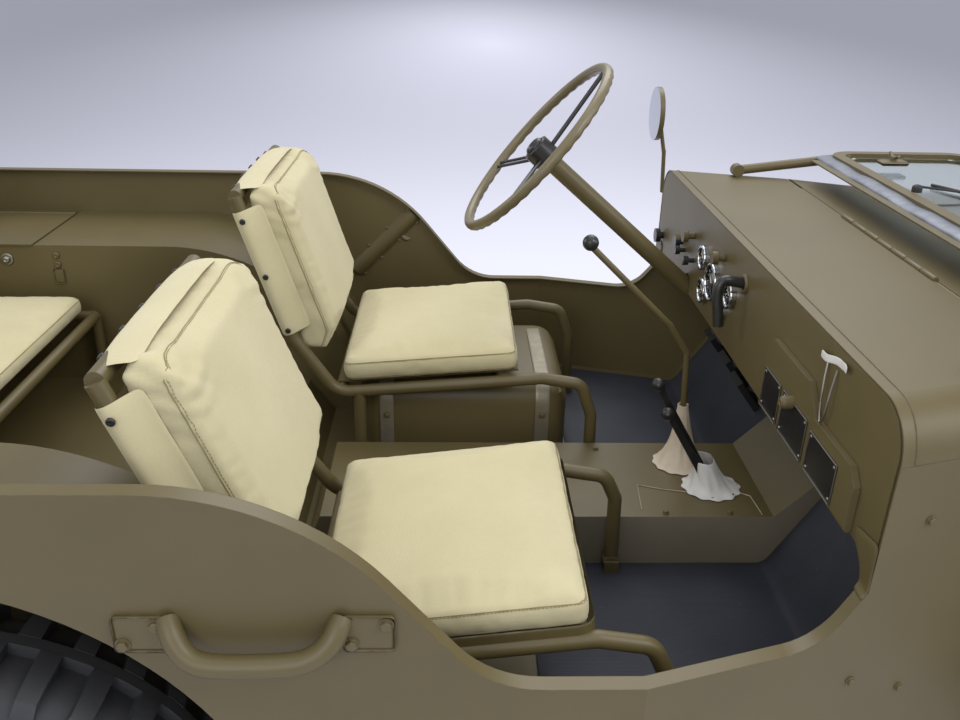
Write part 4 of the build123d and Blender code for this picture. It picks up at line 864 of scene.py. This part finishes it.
# Fasteners: hexagon bolt heads on washers, and round rivet heads.
# One of each is modelled, and copies are seated where the pressings join.
def hex_head(flats=0.0125, high=0.0055, washer=0.0095):
    """A hexagon head with chamfered corners, on a round washer; it points up from the origin."""
    alone()
    bpy.ops.mesh.primitive_cylinder_add(vertices=6, radius=flats / 1.732, depth=high,
                                        location=(0, 0, high / 2 + 0.001))
    head = bpy.context.object
    bpy.ops.object.mode_set(mode="EDIT")
    pick("faces", lambda middle, normal: normal.z > 0.9)
    bpy.ops.mesh.bevel(offset=0.0009, segments=1)
    bpy.ops.object.mode_set(mode="OBJECT")
    fixed()
    alone()
    bpy.ops.mesh.primitive_cylinder_add(vertices=16, radius=washer, depth=0.0012, location=(0, 0, 0.0006))
    fixed()
    return merge("head", [head, bpy.context.object])


def strewn(name, seed, places, finish, body="root", angle=35):
    """Copies of a small part that points up, one seated at each (place, direction), as one piece."""
    twins = []
    for number, (at, way) in enumerate(places):
        twin = copy_of(seed)
        turn = Vector(way).to_track_quat("Z", "Y").to_matrix().to_4x4()
        twin.data.transform(Matrix.Translation(at) @ turn @ Matrix.Rotation(number * 0.9, 4, "Z"))
        twins.append(twin)
    joined(name, twins, finish, body, angle=angle)


def mirrored(places):
    """The same places on both sides of the car."""
    return places + [((x, -y, z), (a, -b, c)) for (x, y, z), (a, b, c) in places]


TUB_HALF, TAPER_FROM, TAPER = 0.734, -0.003, 0.288
SIDE_OUT, COWL_SIDE_OUT = (0, 1, 0), (TAPER, 1, 0)


def half_width(x):
    """The tub's outer half width: it narrows forwards of the door opening."""
    return TUB_HALF - max(0.0, x - TAPER_FROM) * TAPER


def cowl_side(x, z):
    """A place on the left side of the cowl, and the way that side faces."""
    return (x, half_width(x), z), COWL_SIDE_OUT


bolt = hex_head()
small_bolt = hex_head(0.009, 0.004, 0.007)
rivet = dome("rivet", (0, 0, 0), (0, 0, 1), 0.0055, 0.0028)
HANDLE_FEET, HANDLE_Z = (-0.590, -0.332), 0.823
handle_bolts = [((x + dx, 0.7383, HANDLE_Z + dz), SIDE_OUT)
                for x in HANDLE_FEET for dx, dz in ((-0.02, -0.014), (0.02, 0.014))]
strewn("handle_bolts", bolt, mirrored(handle_bolts), body_paint)
seam_rivets = [((-1.40 + 0.085 * i, TUB_HALF, 0.560), SIDE_OUT) for i in range(3)]
seam_rivets += [cowl_side(0.02 + 0.075 * i, 0.468) for i in range(7)]
seam_rivets += [cowl_side(0.531, 0.52 + 0.07 * i) for i in range(7)]
strewn("side_rivets", rivet, mirrored(seam_rivets), body_paint)


# Floor mats: black ribbed rubber, 5 mm thick, laid on the floor and up the toe board.
# The ribs run lengthwise; dust lies on the mat in patches and flecks.
def ribbed_rubber():
    """Black mat rubber with 3 mm ribs along the car."""
    made, tree, shader, place = material("ribbed mat rubber")
    bands = {"wave_type": "BANDS", "bands_direction": "Y", "Scale": 105.0, "Distortion": 0.15}
    ribs = add(tree, "ShaderNodeTexWave", bands, {"Vector": place})
    dust = add(tree, "ShaderNodeTexNoise", {"Scale": 9.0, "Detail": 6.0, "Roughness": 0.65},
               {"Vector": place})
    specks = add(tree, "ShaderNodeTexNoise", {"Scale": 160.0, "Detail": 2.0}, {"Vector": place})
    fleck = add(tree, "ShaderNodeMapRange", {"From Min": 0.68, "From Max": 0.74, "To Max": 0.5},
                {"Value": specks.outputs["Fac"]})
    faint = add(tree, "ShaderNodeMath", {"operation": "MULTIPLY_ADD", 1: 0.7},
                {0: dust.outputs["Fac"], 2: fleck.outputs["Result"]})
    tone = add(tree, "ShaderNodeMix", {"data_type": "RGBA", 6: colour("#1F2129"), 7: colour("#454753")},
               {"Factor": faint.outputs[0]})
    tree.links.new(tone.outputs[2], shader.inputs["Base Color"])
    shader.inputs["Roughness"].default_value = 0.62
    relief = add(tree, "ShaderNodeBump", {"Strength": 0.5, "Distance": 0.0008},
                 {"Height": ribs.outputs["Fac"]})
    tree.links.new(relief.outputs["Normal"], shader.inputs["Normal"])
    return made


mat_rubber = ribbed_rubber()
toe_slope = Vector((0.180, 0, 0.310)).normalized()
TOE_FOOT, MAT_GAP, MAT_CUTS = (0.366, 0.5050), 0.030, 14


def mat(name, inner, rear, up):
    """A mat from the tunnel's side out to the body side, up the toe board by a length."""
    path = [(rear + (0.335 - rear) * i / 8, 0.4835) for i in range(9)]
    path += [(0.348, 0.4850), (0.357, 0.4920), TOE_FOOT]
    path += [(TOE_FOOT[0] + toe_slope.x * up * i / 4, TOE_FOOT[1] + toe_slope.z * up * i / 4)
             for i in range(1, 5)]
    rows = []
    for x, z in path:
        low, high = sorted((inner, math.copysign(half_width(x) - MAT_GAP, inner)))
        rows.append([Vector((x, low + (high - low) * i / MAT_CUTS, z + 0.0006 * math.sin(5 * i + 30 * x)))
                     for i in range(MAT_CUTS + 1)])
    sheet_of(name, rows, 0.005)
    settle(name, mat_rubber, "root", angle=50)


mat("passenger_mat", -0.176, -0.100, 0.16)
mat("driver_mat", 0.100, 0.026, 0.20)


# Fuel tank under the driver's seat: pressed steel, terne plated and painted, with rolled
# corners, held down by two bare steel straps with a draw bolt at the near side.
rounded_block((0.448, 0.365, 0.2197), 0.052, 0.012, along="X", at=(-0.214, 0.3225, 0.59015))
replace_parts(settle("fuel_tank_pressed", body_paint, "root"), "fuel_tank")
worn_steel = finish_of("worn strap steel", "#A79F8D", "#7C7461", 0.45, metallic=0.55, grain=40.0, relief=0.3)


def strap(x0, x1):
    """A strap from the near floor lug, round the tank's top and down the far side."""
    near, corner = 0.1380, 0.0535
    line = [(near, 0.498), (near, 0.560), (near, 0.640)]
    line += [(near + corner - corner * math.cos(a), 0.6485 + corner * math.sin(a))
             for a in [math.radians(15 * i) for i in range(7)]]
    line += [(0.25, 0.7022), (0.35, 0.7022), (0.452, 0.7020), (0.490, 0.6870), (0.5068, 0.650),
             (0.5068, 0.560)]
    rows = [[Vector((x0 + (x1 - x0) * i / 3, y, z)) for i in range(4)] for y, z in line]
    return sheet_of("strap", rows, 0.0018)


joined("tank_straps", [strap(-0.393, -0.363), strap(-0.062, -0.031)], worn_steel, "root")
strap_bolts = [((x, 0.1368, z), (0, -1, 0)) for x in (-0.378, -0.0465) for z in (0.556, 0.628)]
strewn("tank_strap_bolts", small_bolt, strap_bolts, body_paint)


# Lever boots on the tunnel: a tall cream leather boot for the gear lever, and a low white
# proofed-cloth boot, screwed down through its scalloped edge, for the two transfer levers.
def sleeve(name, rings, thick):
    """A soft skin through closed rings of points, with its thickness."""
    alone()
    bpy.ops.mesh.primitive_grid_add(x_subdivisions=len(rings[0]), y_subdivisions=len(rings) - 1)
    skin = bpy.context.object
    skin.name = name
    for v, at in zip(skin.data.vertices, [p for ring in rings for p in ring + ring[:1]]):
        v.co = at
    bpy.ops.object.mode_set(mode="EDIT")
    bpy.ops.mesh.select_all(action="SELECT")
    bpy.ops.mesh.remove_doubles(threshold=0.00001)
    bpy.ops.mesh.normals_make_consistent(inside=False)
    bpy.ops.object.mode_set(mode="OBJECT")
    modify(skin, "SOLIDIFY", thickness=thick, offset=-1)
    modify(skin, "SUBSURF", levels=1, render_levels=1)
    return skin


def boot(name, stages, folds, scallops, finish):
    """A boot through (centre x, y, z, half width x, half width y) stages, creased along and across."""
    rings, around = [], 48
    for step, (x, y, z, rx, ry) in enumerate(stages):
        t = step / (len(stages) - 1)
        ring = []
        for i in range(around):
            a = 2 * math.pi * i / around
            pleats = math.sin(7 * a + 6 * t) + 0.6 * math.sin(12 * a - 4 * t)
            crease = folds * math.sin(math.pi * min(1, t * 1.2)) * pleats
            lobes = scallops * math.cos(12 * a) if step < 2 else 0.0
            wide = 1 + crease + lobes
            sag = 0.0012 * math.sin(3 * a + step) if step > 1 else 0
            ring.append(Vector((x + rx * wide * math.cos(a), y + ry * wide * math.sin(a), z + sag)))
        rings.append(ring)
    sleeve(name, rings, 0.0016)
    settle(name, finish, "root", angle=60)


boot("gear_lever_boot", [(0.224, 0.018, 0.5875, 0.052, 0.050), (0.224, 0.018, 0.5885, 0.048, 0.046),
                         (0.2245, 0.019, 0.593, 0.043, 0.042), (0.225, 0.019, 0.604, 0.037, 0.036),
                         (0.2255, 0.020, 0.620, 0.029, 0.028), (0.225, 0.020, 0.640, 0.023, 0.022),
                         (0.2235, 0.020, 0.662, 0.0185, 0.018), (0.222, 0.020, 0.684, 0.015, 0.015),
                         (0.2205, 0.020, 0.703, 0.0125, 0.0125), (0.220, 0.020, 0.714, 0.0105, 0.0105),
                         (0.2195, 0.020, 0.720, 0.0112, 0.0112)], 0.055, 0.05, cream_leather)
boot("transfer_lever_boot", [(0.268, -0.072, 0.5875, 0.057, 0.052), (0.268, -0.072, 0.5890, 0.053, 0.048),
                             (0.266, -0.071, 0.594, 0.042, 0.040), (0.262, -0.070, 0.604, 0.034, 0.036),
                             (0.258, -0.069, 0.616, 0.028, 0.033), (0.253, -0.068, 0.629, 0.025, 0.031),
                             (0.249, -0.067, 0.641, 0.022, 0.029), (0.246, -0.067, 0.649, 0.019, 0.027)],
     0.06, 0.06, white_cloth)
boot_screws = [((0.268 + 0.048 * math.cos(a), -0.072 + 0.043 * math.sin(a), 0.589), (0, 0, 1))
               for a in [math.radians(turn) for turn in (-150, -100, -48, 0, 55, 125)]]
screw = dome("screw", (0, 0, 0), (0, 0, 1), 0.0042, 0.0024, 0.0014)
strewn("boot_screws", screw, boot_screws, bare_steel)
chipped_paint = finish_of("chipped paint seam", "#C3B497", "#8D8063", 0.6, grain=90.0)
SEAM_Z, TUNNEL_TOP = 0.5862, 0.5853
rear_seam = [(0.117, -0.150), (0.124, -0.067), (0.172, -0.083), (0.222, -0.093)]
front_seam = [(0.318, -0.094), (0.336, -0.105), (0.340, -0.166)]
for name, line in (("tunnel_plate_seam", rear_seam), ("tunnel_plate_seam_front", front_seam)):
    wire(name, [(*at, SEAM_Z) for at in line], 0.0010, smooth=False, sides=1)
    settle(name, chipped_paint, "root")
tunnel_bolts = [((0.062, y, TUNNEL_TOP), (0, 0, 1)) for y in (-0.150, -0.04, 0.07)]
tunnel_bolts += [((x, -0.160, TUNNEL_TOP), (0, 0, 1)) for x in (-0.10, 0.16, 0.28)]
strewn("tunnel_bolts", small_bolt, tunnel_bolts, body_paint)


# Dash fittings: plated bezels and black dials, a black pistol-grip hand brake, and on the
# glove box door its latch knob and three bare black enamelled plates in bright frames.
def seated(node, start, way):
    """Where a ray meets a carried-over node."""
    return nodes[node].ray_cast(Vector(start), Vector(way))[1]


def hoop(name, at, way, major, minor, flat=1.0):
    """A rolled ring round a direction, flattened along it."""
    alone()
    turn = Vector(way).to_track_quat("Z", "Y").to_euler()
    bpy.ops.mesh.primitive_torus_add(location=at, rotation=turn, major_radius=major, minor_radius=minor,
                                     major_segments=56, minor_segments=10)
    bpy.context.object.scale = (1, 1, flat)
    fixed()
    bpy.context.object.name = name
    return bpy.context.object


# Each clock's middle (y, z) on the dash and its radius, the speedometer first.
CLOCKS = [(0.137, 0.934, 0.038), (0.216, 0.959, 0.026), (0.193, 0.896, 0.026),
          (0.021, 0.951, 0.026), (0.065, 0.903, 0.026)]
TICKS, TICK_STEP = 11, 26
dial_white = finish_of("dial enamel", "#E8E4D4", "#D4CEB8", 0.4)
bezels, marks = [], []
for y, z, r in CLOCKS:
    bezels.append(hoop("bezel", (0.2762, y, z), (-1, 0, 0), r - 0.0030, 0.0036, 0.9))
    for i in range(TICKS):
        a = math.radians(-130 + TICK_STEP * i)
        out = r - 0.0105
        alone()
        bpy.ops.mesh.primitive_cube_add(size=1, rotation=(a, 0, 0),
                                        location=(0.2792, y - out * math.sin(a), z + out * math.cos(a)))
        bpy.context.object.scale = (0.0006, 0.0014, 0.0050)
        fixed()
        marks.append(bpy.context.object)
    alone()
    bpy.ops.mesh.primitive_cone_add(vertices=6, radius1=0.0014, radius2=0.0004, depth=r * 0.6,
                                    location=(0.2785, y + r * 0.2, z + r * 0.15), rotation=(-0.9, 0, 0))
    fixed()
    marks.append(bpy.context.object)
joined("clock_bezels", bezels, chrome, "root")
joined("clock_marks", marks, dial_white, "root")
grip_line = [(0.292, -0.040, 0.995), (0.262, -0.040, 1.000), (0.246, -0.040, 1.003), (0.236, -0.043, 0.992),
             (0.236, -0.046, 0.965), (0.241, -0.049, 0.940), (0.243, -0.051, 0.918)]
wire("hand_brake_grip", grip_line, 0.0098, sides=5)
settle("hand_brake_grip", black_lacquer, "root", angle=60)
hoop("hand_brake_collar", (0.2835, -0.040, 0.995), (-1, 0, 0), 0.0145, 0.0040)
settle("hand_brake_collar", body_paint, "root")
frames, pins, plates = [], [], []
plate_black = finish_of("plate enamel", "#121214", "#222225", 0.3, grain=90.0)
PLATES = ((-0.302, -0.228, 0.854, 0.922), (-0.414, -0.316, 0.854, 0.922), (-0.526, -0.430, 0.854, 0.916))
for y0, y1, z0, z1 in PLATES:
    y, z = (y0 + y1) / 2, (z0 + z1) / 2
    x = seated("glove_door", (0, y, z), (1, 0, 0)).x - 0.0006
    plates.append(rounded_block((0.0014, y1 - y0, z1 - z0), 0.003, 0.0004, along="X", at=(x, y, z)))
    corners = [(x - 0.0010, *at) for at in ((y0, z0), (y1, z0), (y1, z1), (y0, z1))]
    frames.append(wire("frame", corners, 0.0011, smooth=False, sides=1, ring=True))
    out, up = (y1 - y0) / 2 - 0.006, (z1 - z0) / 2 - 0.006
    pins += [dome("rivet", (x - 0.0008, y + sy * out, z + sz * up), (-1, 0, 0), 0.0028, 0.0018)
             for sy in (-1, 1) for sz in (-1, 1)]
joined("blank_plates", plates, plate_black, "glove_door")
joined("plate_frames", frames, bare_steel, "glove_door")
joined("plate_rivets", pins, bare_steel, "glove_door")
latch = seated("glove_door", (0, -0.350, 0.919), (1, 0, 0))
dome("glove_latch_knob", (latch.x + 0.001, -0.350, 0.919), (-1, 0, 0), 0.0105, 0.021, 0.003)
settle("glove_latch_knob", body_paint, "glove_door")
chain = [(0.283, -0.452, 1.022), (0.277, -0.456, 0.990), (0.277, -0.453, 0.952), (0.277, -0.445, 0.934),
         (0.277, -0.437, 0.952), (0.278, -0.428, 0.995), (0.283, -0.420, 1.022)]
wire("chain_loop", chain, 0.0016, sides=1)
settle("chain_loop", bare_steel, "root", angle=60)
tag = [[Vector((0.2815 - 0.004 * math.sin(1.1 * i), -0.398 - 0.013 * i,
                1.024 + 0.0022 * i + d + 0.002 * math.sin(2.3 * i)))
        for i in range(8)] for d in (-0.006, 0.0, 0.006)]
sheet_of("tape_tag", tag, 0.0012)
settle("tape_tag", white_cloth, "root", angle=60)


# Cowl corner: the door opening's rolled flange runs up into the edge of the dash.
# It is one pressing with the body side, painted over.
rows = []
for z_out, y_in, z_in in ((0.797, -0.6288, 0.799), (0.806, -0.6275, 0.808), (0.815, -0.6240, 0.818),
                          (0.830, -0.6160, 0.831), (0.845, -0.6040, 0.8405), (0.860, -0.5890, 0.8465),
                          (0.880, -0.5850, 0.868)):
    x = 0.2835 - max(0.0, 0.806 - z_out) * 0.9
    y_out = -half_width(x) - 0.0006
    rows.append([Vector((x, y_out + (y_in - y_out) * i / 4, z_out + (z_in - z_out) * i / 4))
                 for i in range(5)])
flange = sheet_of("flange", rows, 0.0030)
joined("cowl_corner_flanges", [flange, copy_of(flange, mirror=True)], body_paint, "root")
bead = []
for side_y in (-1, 1):
    arc = []
    for i in range(9):
        a = math.radians(15 + 75 * i / 8)
        way = Vector((0, side_y * math.cos(a), math.sin(a)))
        arc.append(seated("cowl", Vector((0.304, side_y * 0.56, 0.97)) + way * 0.5, -way))
    bead += arc if side_y < 0 else arc[::-1]
wire("cowl_bead", bead, 0.0017, smooth=False, sides=2)
settle("cowl_bead", body_paint, "root", angle=60)


# Hood hinge: a steel piano hinge, its knuckles by turns on the cowl and on the hood.
# The pin lies on the line that the hood turns about.
PIN_X, KNUCKLE_R = 0.547, 0.0052
COWL_SPANS = ((0.196, 0.145), (0.085, 0.035), (-0.025, -0.075), (-0.135, -0.181))
HOOD_SPANS = ((0.143, 0.087), (0.033, -0.023), (-0.077, -0.133))
for name, node, body, spans, ahead in (("hinge_cowl", "cowl", "root", COWL_SPANS, -0.012),
                                       ("hinge_hood", "hood", "hood", HOOD_SPANS, 0.012)):
    knuckles = []
    for y0, y1 in spans:
        y = (y0 + y1) / 2
        top = seated(node, (PIN_X + ahead, y, 1.5), (0, 0, -1)).z
        alone()
        bpy.ops.mesh.primitive_cylinder_add(vertices=16, radius=KNUCKLE_R, depth=abs(y1 - y0),
                                            location=(PIN_X, y, top + 0.0015), rotation=(math.pi / 2, 0, 0))
        fixed()
        bpy.ops.object.mode_set(mode="EDIT")
        pick("faces", lambda middle, normal: abs(normal.y) > 0.9)
        bpy.ops.mesh.bevel(offset=0.0008, segments=2)
        bpy.ops.object.mode_set(mode="OBJECT")
        knuckles.append(bpy.context.object)
    joined(name, knuckles, body_paint, body)


# Steering wheel: moulded hard rubber rim, painted, with finger grips on its underside,
# and a black horn button in the hub.
SHAFT = Vector((0.352, 0, -0.303)).normalized()
RIM_R, GRIP_R, GRIPS = 0.209, 0.0104, 44
alone()
bpy.ops.mesh.primitive_torus_add(major_radius=RIM_R, minor_radius=GRIP_R,
                                 major_segments=288, minor_segments=12)
rim = bpy.context.object
for v in rim.data.vertices:
    a = math.atan2(v.co.y, v.co.x)
    middle = Vector((RIM_R * math.cos(a), RIM_R * math.sin(a), 0))
    off = v.co - middle
    under = max(0.0, off.z / GRIP_R)
    v.co = middle + off * (1 + 0.17 * under * (0.5 + 0.5 * math.cos(GRIPS * a)))
rim.data.transform(Matrix.Translation(HUB) @ SHAFT.to_track_quat("Z", "Y").to_matrix().to_4x4())
rim_paint = finish_of("painted rim rubber", "#6A6047", "#7B7054", 0.33, grain=12.0)
settle("steering_rim_grips", rim_paint, "steering_wheel", angle=60)
front = seated("steering_wheel", HUB - SHAFT * 0.3, SHAFT)
button = dome("button", front - SHAFT * 0.0005, -SHAFT, 0.021, 0.010, 0.0025)
joined("horn_button", [button, hoop("ring", front, SHAFT, 0.0235, 0.0026)], black_lacquer, "steering_wheel")


# Windscreen fittings: a grey rubber seal on the frame's hinge-side bar, two clamps with
# wing screws that hold it folded, and a hand wiper on the driver's side.
seal, cuts = [], 24
for step in range(cuts + 1):
    y = -0.530 + 1.060 * step / cuts
    wave = 0.0022 * math.sin(2.1 * step) + 0.0014 * math.sin(5.3 * step)
    seal.append([Vector((0.6290 + 0.0225 * math.cos(a), y, 1.1010 + wave + 0.0085 * math.sin(a)))
                 for a in [2 * math.pi * i / 12 for i in range(12)]])
sleeve("windscreen_seal", seal, 0.0022)
settle("windscreen_seal", grey_seal, "windscreen", angle=60)
CLAMP_X, WING = 0.735, ((-0.022, 1.137), (-0.011, 1.130), (0.011, 1.130), (0.022, 1.137))
clamps = []
for y in (-0.416, 0.416):
    clamps.append(rounded_block((0.062, 0.034, 0.010), 0.006, 0.0015, at=(CLAMP_X, y, 1.1180)))
    clamps.append(dome("stud", (CLAMP_X, y, 1.1225), (0, 0, 1), 0.0075, 0.012, 0.002))
    clamps.append(wire("wing", [(CLAMP_X, y + out, z) for out, z in WING], 0.0034, sides=2))
joined("windscreen_clamps", clamps, body_paint, "windscreen")
arm = [(0.676, 0.180, 1.1230), (0.735, 0.170, 1.1180), (0.800, 0.160, 1.1125)]
blade = [(0.745, 0.255, 1.1080), (0.790, 0.165, 1.1105), (0.830, 0.075, 1.1080)]
wiper = [dome("pivot", (0.676, 0.180, 1.1120), (0, 0, 1), 0.010, 0.014, 0.003),
         wire("arm", arm, 0.0024, sides=2), wire("blade", blade, 0.0034, sides=2)]
joined("hand_wiper", wiper, stove_black, "windscreen")


# Body side fittings, the same both sides: a pressed brace riveted inside the quarter,
# a riveted strap end and a lock on the tool box, and bolts where the cowl joins the side.
def across(shapes):
    """These shapes and their mirror images across the car."""
    return shapes + [copy_of(shape, mirror=True) for shape in shapes]


brace_top, brace_low = Vector((-0.340, 0.7322, 0.902)), Vector((-0.500, 0.7322, 0.742))
wide = (brace_low - brace_top).normalized().cross(Vector((0, 1, 0)))
PRESSING = ((-0.030, 0.0), (-0.017, 0.0), (-0.0135, 0.013), (0.0135, 0.013), (0.017, 0.0), (0.030, 0.0))
rows = [[brace_top.lerp(brace_low, t / 8) + wide * w - Vector((0, d, 0)) for w, d in PRESSING]
        for t in range(9)]
braces = [sheet_of("brace", rows, 0.0018)]
for t in (0.06, 0.36, 0.66, 0.94):
    for w in (-0.0235, 0.0235):
        at = brace_top.lerp(brace_low, t) + wide * w - Vector((0, 0.001, 0))
        braces.append(dome("rivet", at, (0, -1, 0), 0.0048, 0.0026))
joined("quarter_braces", across(braces), body_paint, "root")
ends = [dome("rivet", (-1.150, 0.4398, z), (0, -1, 0), 0.0085, 0.0048, 0.0022) for z in (0.874, 0.852)]
ends.append(rounded_block((0.024, 0.0030, 0.036), 0.004, 0.0009, along="Y", at=(-1.150, 0.4388, 0.824)))
joined("strap_ends", across(ends), body_paint, "root")
lock = [dome("escutcheon", (-1.263, 0.4400, 0.864), (0, -1, 0), 0.0155, 0.0035),
        dome("barrel", (-1.263, 0.4370, 0.864), (0, -1, 0), 0.0100, 0.0070, 0.003)]
joined("tool_box_locks", across(lock), bare_steel, "root")
side_bolts = [cowl_side(x, z) for x, z in ((0.291, 0.660), (0.375, 0.625), (0.350, 0.905), (0.430, 0.905))]
strewn("side_bolts", small_bolt, mirrored(side_bolts), body_paint)


# Grab handles: a 28 mm steel bar bent by hand, flattened into two plates that are
# bolted to the body side through two heads each.
handle = [rounded_block((0.060, 0.0042, 0.050), 0.006, 0.0012, along="Y", at=(x, 0.7364, HANDLE_Z))
          for x in HANDLE_FEET]
bar = [(-0.558, 0.7330, 0.842), (-0.553, 0.7440, 0.834), (-0.544, 0.7530, 0.818), (-0.529, 0.7600, 0.804),
       (-0.508, 0.7625, 0.799), (-0.460, 0.7630, 0.799), (-0.412, 0.7625, 0.801), (-0.391, 0.7590, 0.808),
       (-0.375, 0.7530, 0.820), (-0.366, 0.7440, 0.834), (-0.362, 0.7330, 0.842)]
handle.append(wire("bar", bar, 0.0138, sides=5))
handles = joined("grab_handles_bent", across(handle), body_paint, "root", angle=50)
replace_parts(handles, "grab_handles")


# The passenger's seat pan: a pressed steel tray under the cushion, welded to the frame.
# It is painted with the frame, and its edge shows as a thin lip below the cushion.
pan = rounded_block((0.384, 0.428, 0.010), 0.024, 0.0025)
tilted = Matrix.Rotation(math.radians(-7.1), 4, "Y")
pan.data.transform(Matrix.Translation((-0.2345, -0.402, 0.6860)) @ tilted)
settle("passenger_seat_pan", body_paint, "passenger_seat")


# Wheel nuts and hub caps: five conical-seat nuts on a 140 mm circle round a pressed cap.
# The front caps are drive flanges' dust caps; the spare has nuts only.
wheel_nut = hex_head(0.0215, 0.0130, 0.0125)
NUT_CIRCLE_R, NUTS = 0.0699, 5
for corner, hub, way in WHEELS:
    way, hub = Vector(way), Vector(hub)
    spare = corner == "spare"
    node, body = ("spare_wheel", "root") if spare else ("wheel_" + corner, "wheel_" + corner)
    spots = []
    for i in range(NUTS):
        a = math.radians(90 + 360 / NUTS * i)
        out = Vector((0, math.cos(a), math.sin(a))) if spare else Vector((math.cos(a), 0, math.sin(a)))
        spots.append((seated(node, hub + out * NUT_CIRCLE_R + way * 0.4, -way), way))
    strewn(corner + "_wheel_nuts", wheel_nut, spots, body_paint, body=body)
    if not spare:
        cap = seated(node, hub + way * 0.4, -way)
        dome(corner + "_hub_cap", cap - way * 0.001, way, 0.034, 0.020)
        settle(corner + "_hub_cap", body_paint, body)


# Front and rear fittings: rolled lamp bezels, round heads that hold the bumper, sprung
# wire hood catches, and the webbing strap that holds the fuel can on its tray.
bezels = []
for node, ray_out, y, z, proud, major, minor in (("headlamps", 0.0820, 0.322, 0.885, 0.0, 0.0820, 0.0060),
                                                 ("grille", 0.0, 0.330, 0.755, 0.001, 0.0330, 0.0040)):
    for s in (-1, 1):
        x = seated(node, (2.0, s * y + ray_out, z), (-1, 0, 0)).x + proud
        bezels.append(hoop("bezel", (x, s * y, z), (1, 0, 0), major, minor, 0.8))
joined("lamp_bezels", bezels, body_paint, "root")
bumper_bolts = [(seated("front_bumper", (2.2, s * y, z), (-1, 0, 0)), (1, 0, 0))
                for s in (-1, 1) for y in (0.352, 0.392) for z in (0.495, 0.535)]
strewn("bumper_bolts", rivet, bumper_bolts, body_paint)
BAIL = ((-0.016, 0.002, 0.870), (-0.014, 0.012, 0.905), (0, 0.010, 0.935), (0.014, 0.012, 0.905),
        (0.016, 0.002, 0.870))
catches = []
for x in (0.72, 1.20):
    for s in (-1, 1):
        y = seated("hood", (x, s * 1.0, 0.900), (0, -s, 0)).y
        catches.append(wire("bail", [(x + dx, y + s * out, z) for dx, out, z in BAIL], 0.0026, sides=2))
        catches.append(dome("stay", (x, y + s * 0.012, 0.866), (0, 0, 1), 0.014, 0.016, 0.003))
joined("hood_catches", catches, body_paint, "root")


def extent(node):
    """A carried-over node's low and high corners."""
    places = [v.co for v in nodes[node].data.vertices]
    return [Vector([pick_of(p[i] for p in places) for i in range(3)]) for pick_of in (min, max)]


webbing = canvas_cloth("webbing", "#857A56", "#6C6344")
can_low, can_high = extent("jerry_can")
SLACK, ROUND, TURN, STRAP_UP, STRAP_WIDE = 0.0012, 0.03, 0.006, 0.26, 0.035
x0, x1, y0, y1 = can_low.x - SLACK, can_high.x + SLACK, can_low.y - SLACK, can_high.y + SLACK
ring = []
for x, y, sx, sy in ((x1, y0, -1, 1), (x1, y1, -1, -1), (x0, y1, 1, -1), (x0, y0, 1, 1)):
    corner = [(x + sx * ROUND, y), (x + sx * TURN, y + sy * TURN), (x, y + sy * ROUND)]
    ring += corner if sx != sy else corner[::-1]
z = can_low.z + STRAP_UP
sleeve("can_strap", [[Vector((x, y, z + STRAP_WIDE * i / 3)) for x, y in ring] for i in range(4)], 0.0020)
settle("can_strap", webbing, "root")


# The first fasteners were only patterns for the copies.
for seed in (bolt, small_bolt, rivet, screw, wheel_nut):
    bpy.data.objects.remove(seed)
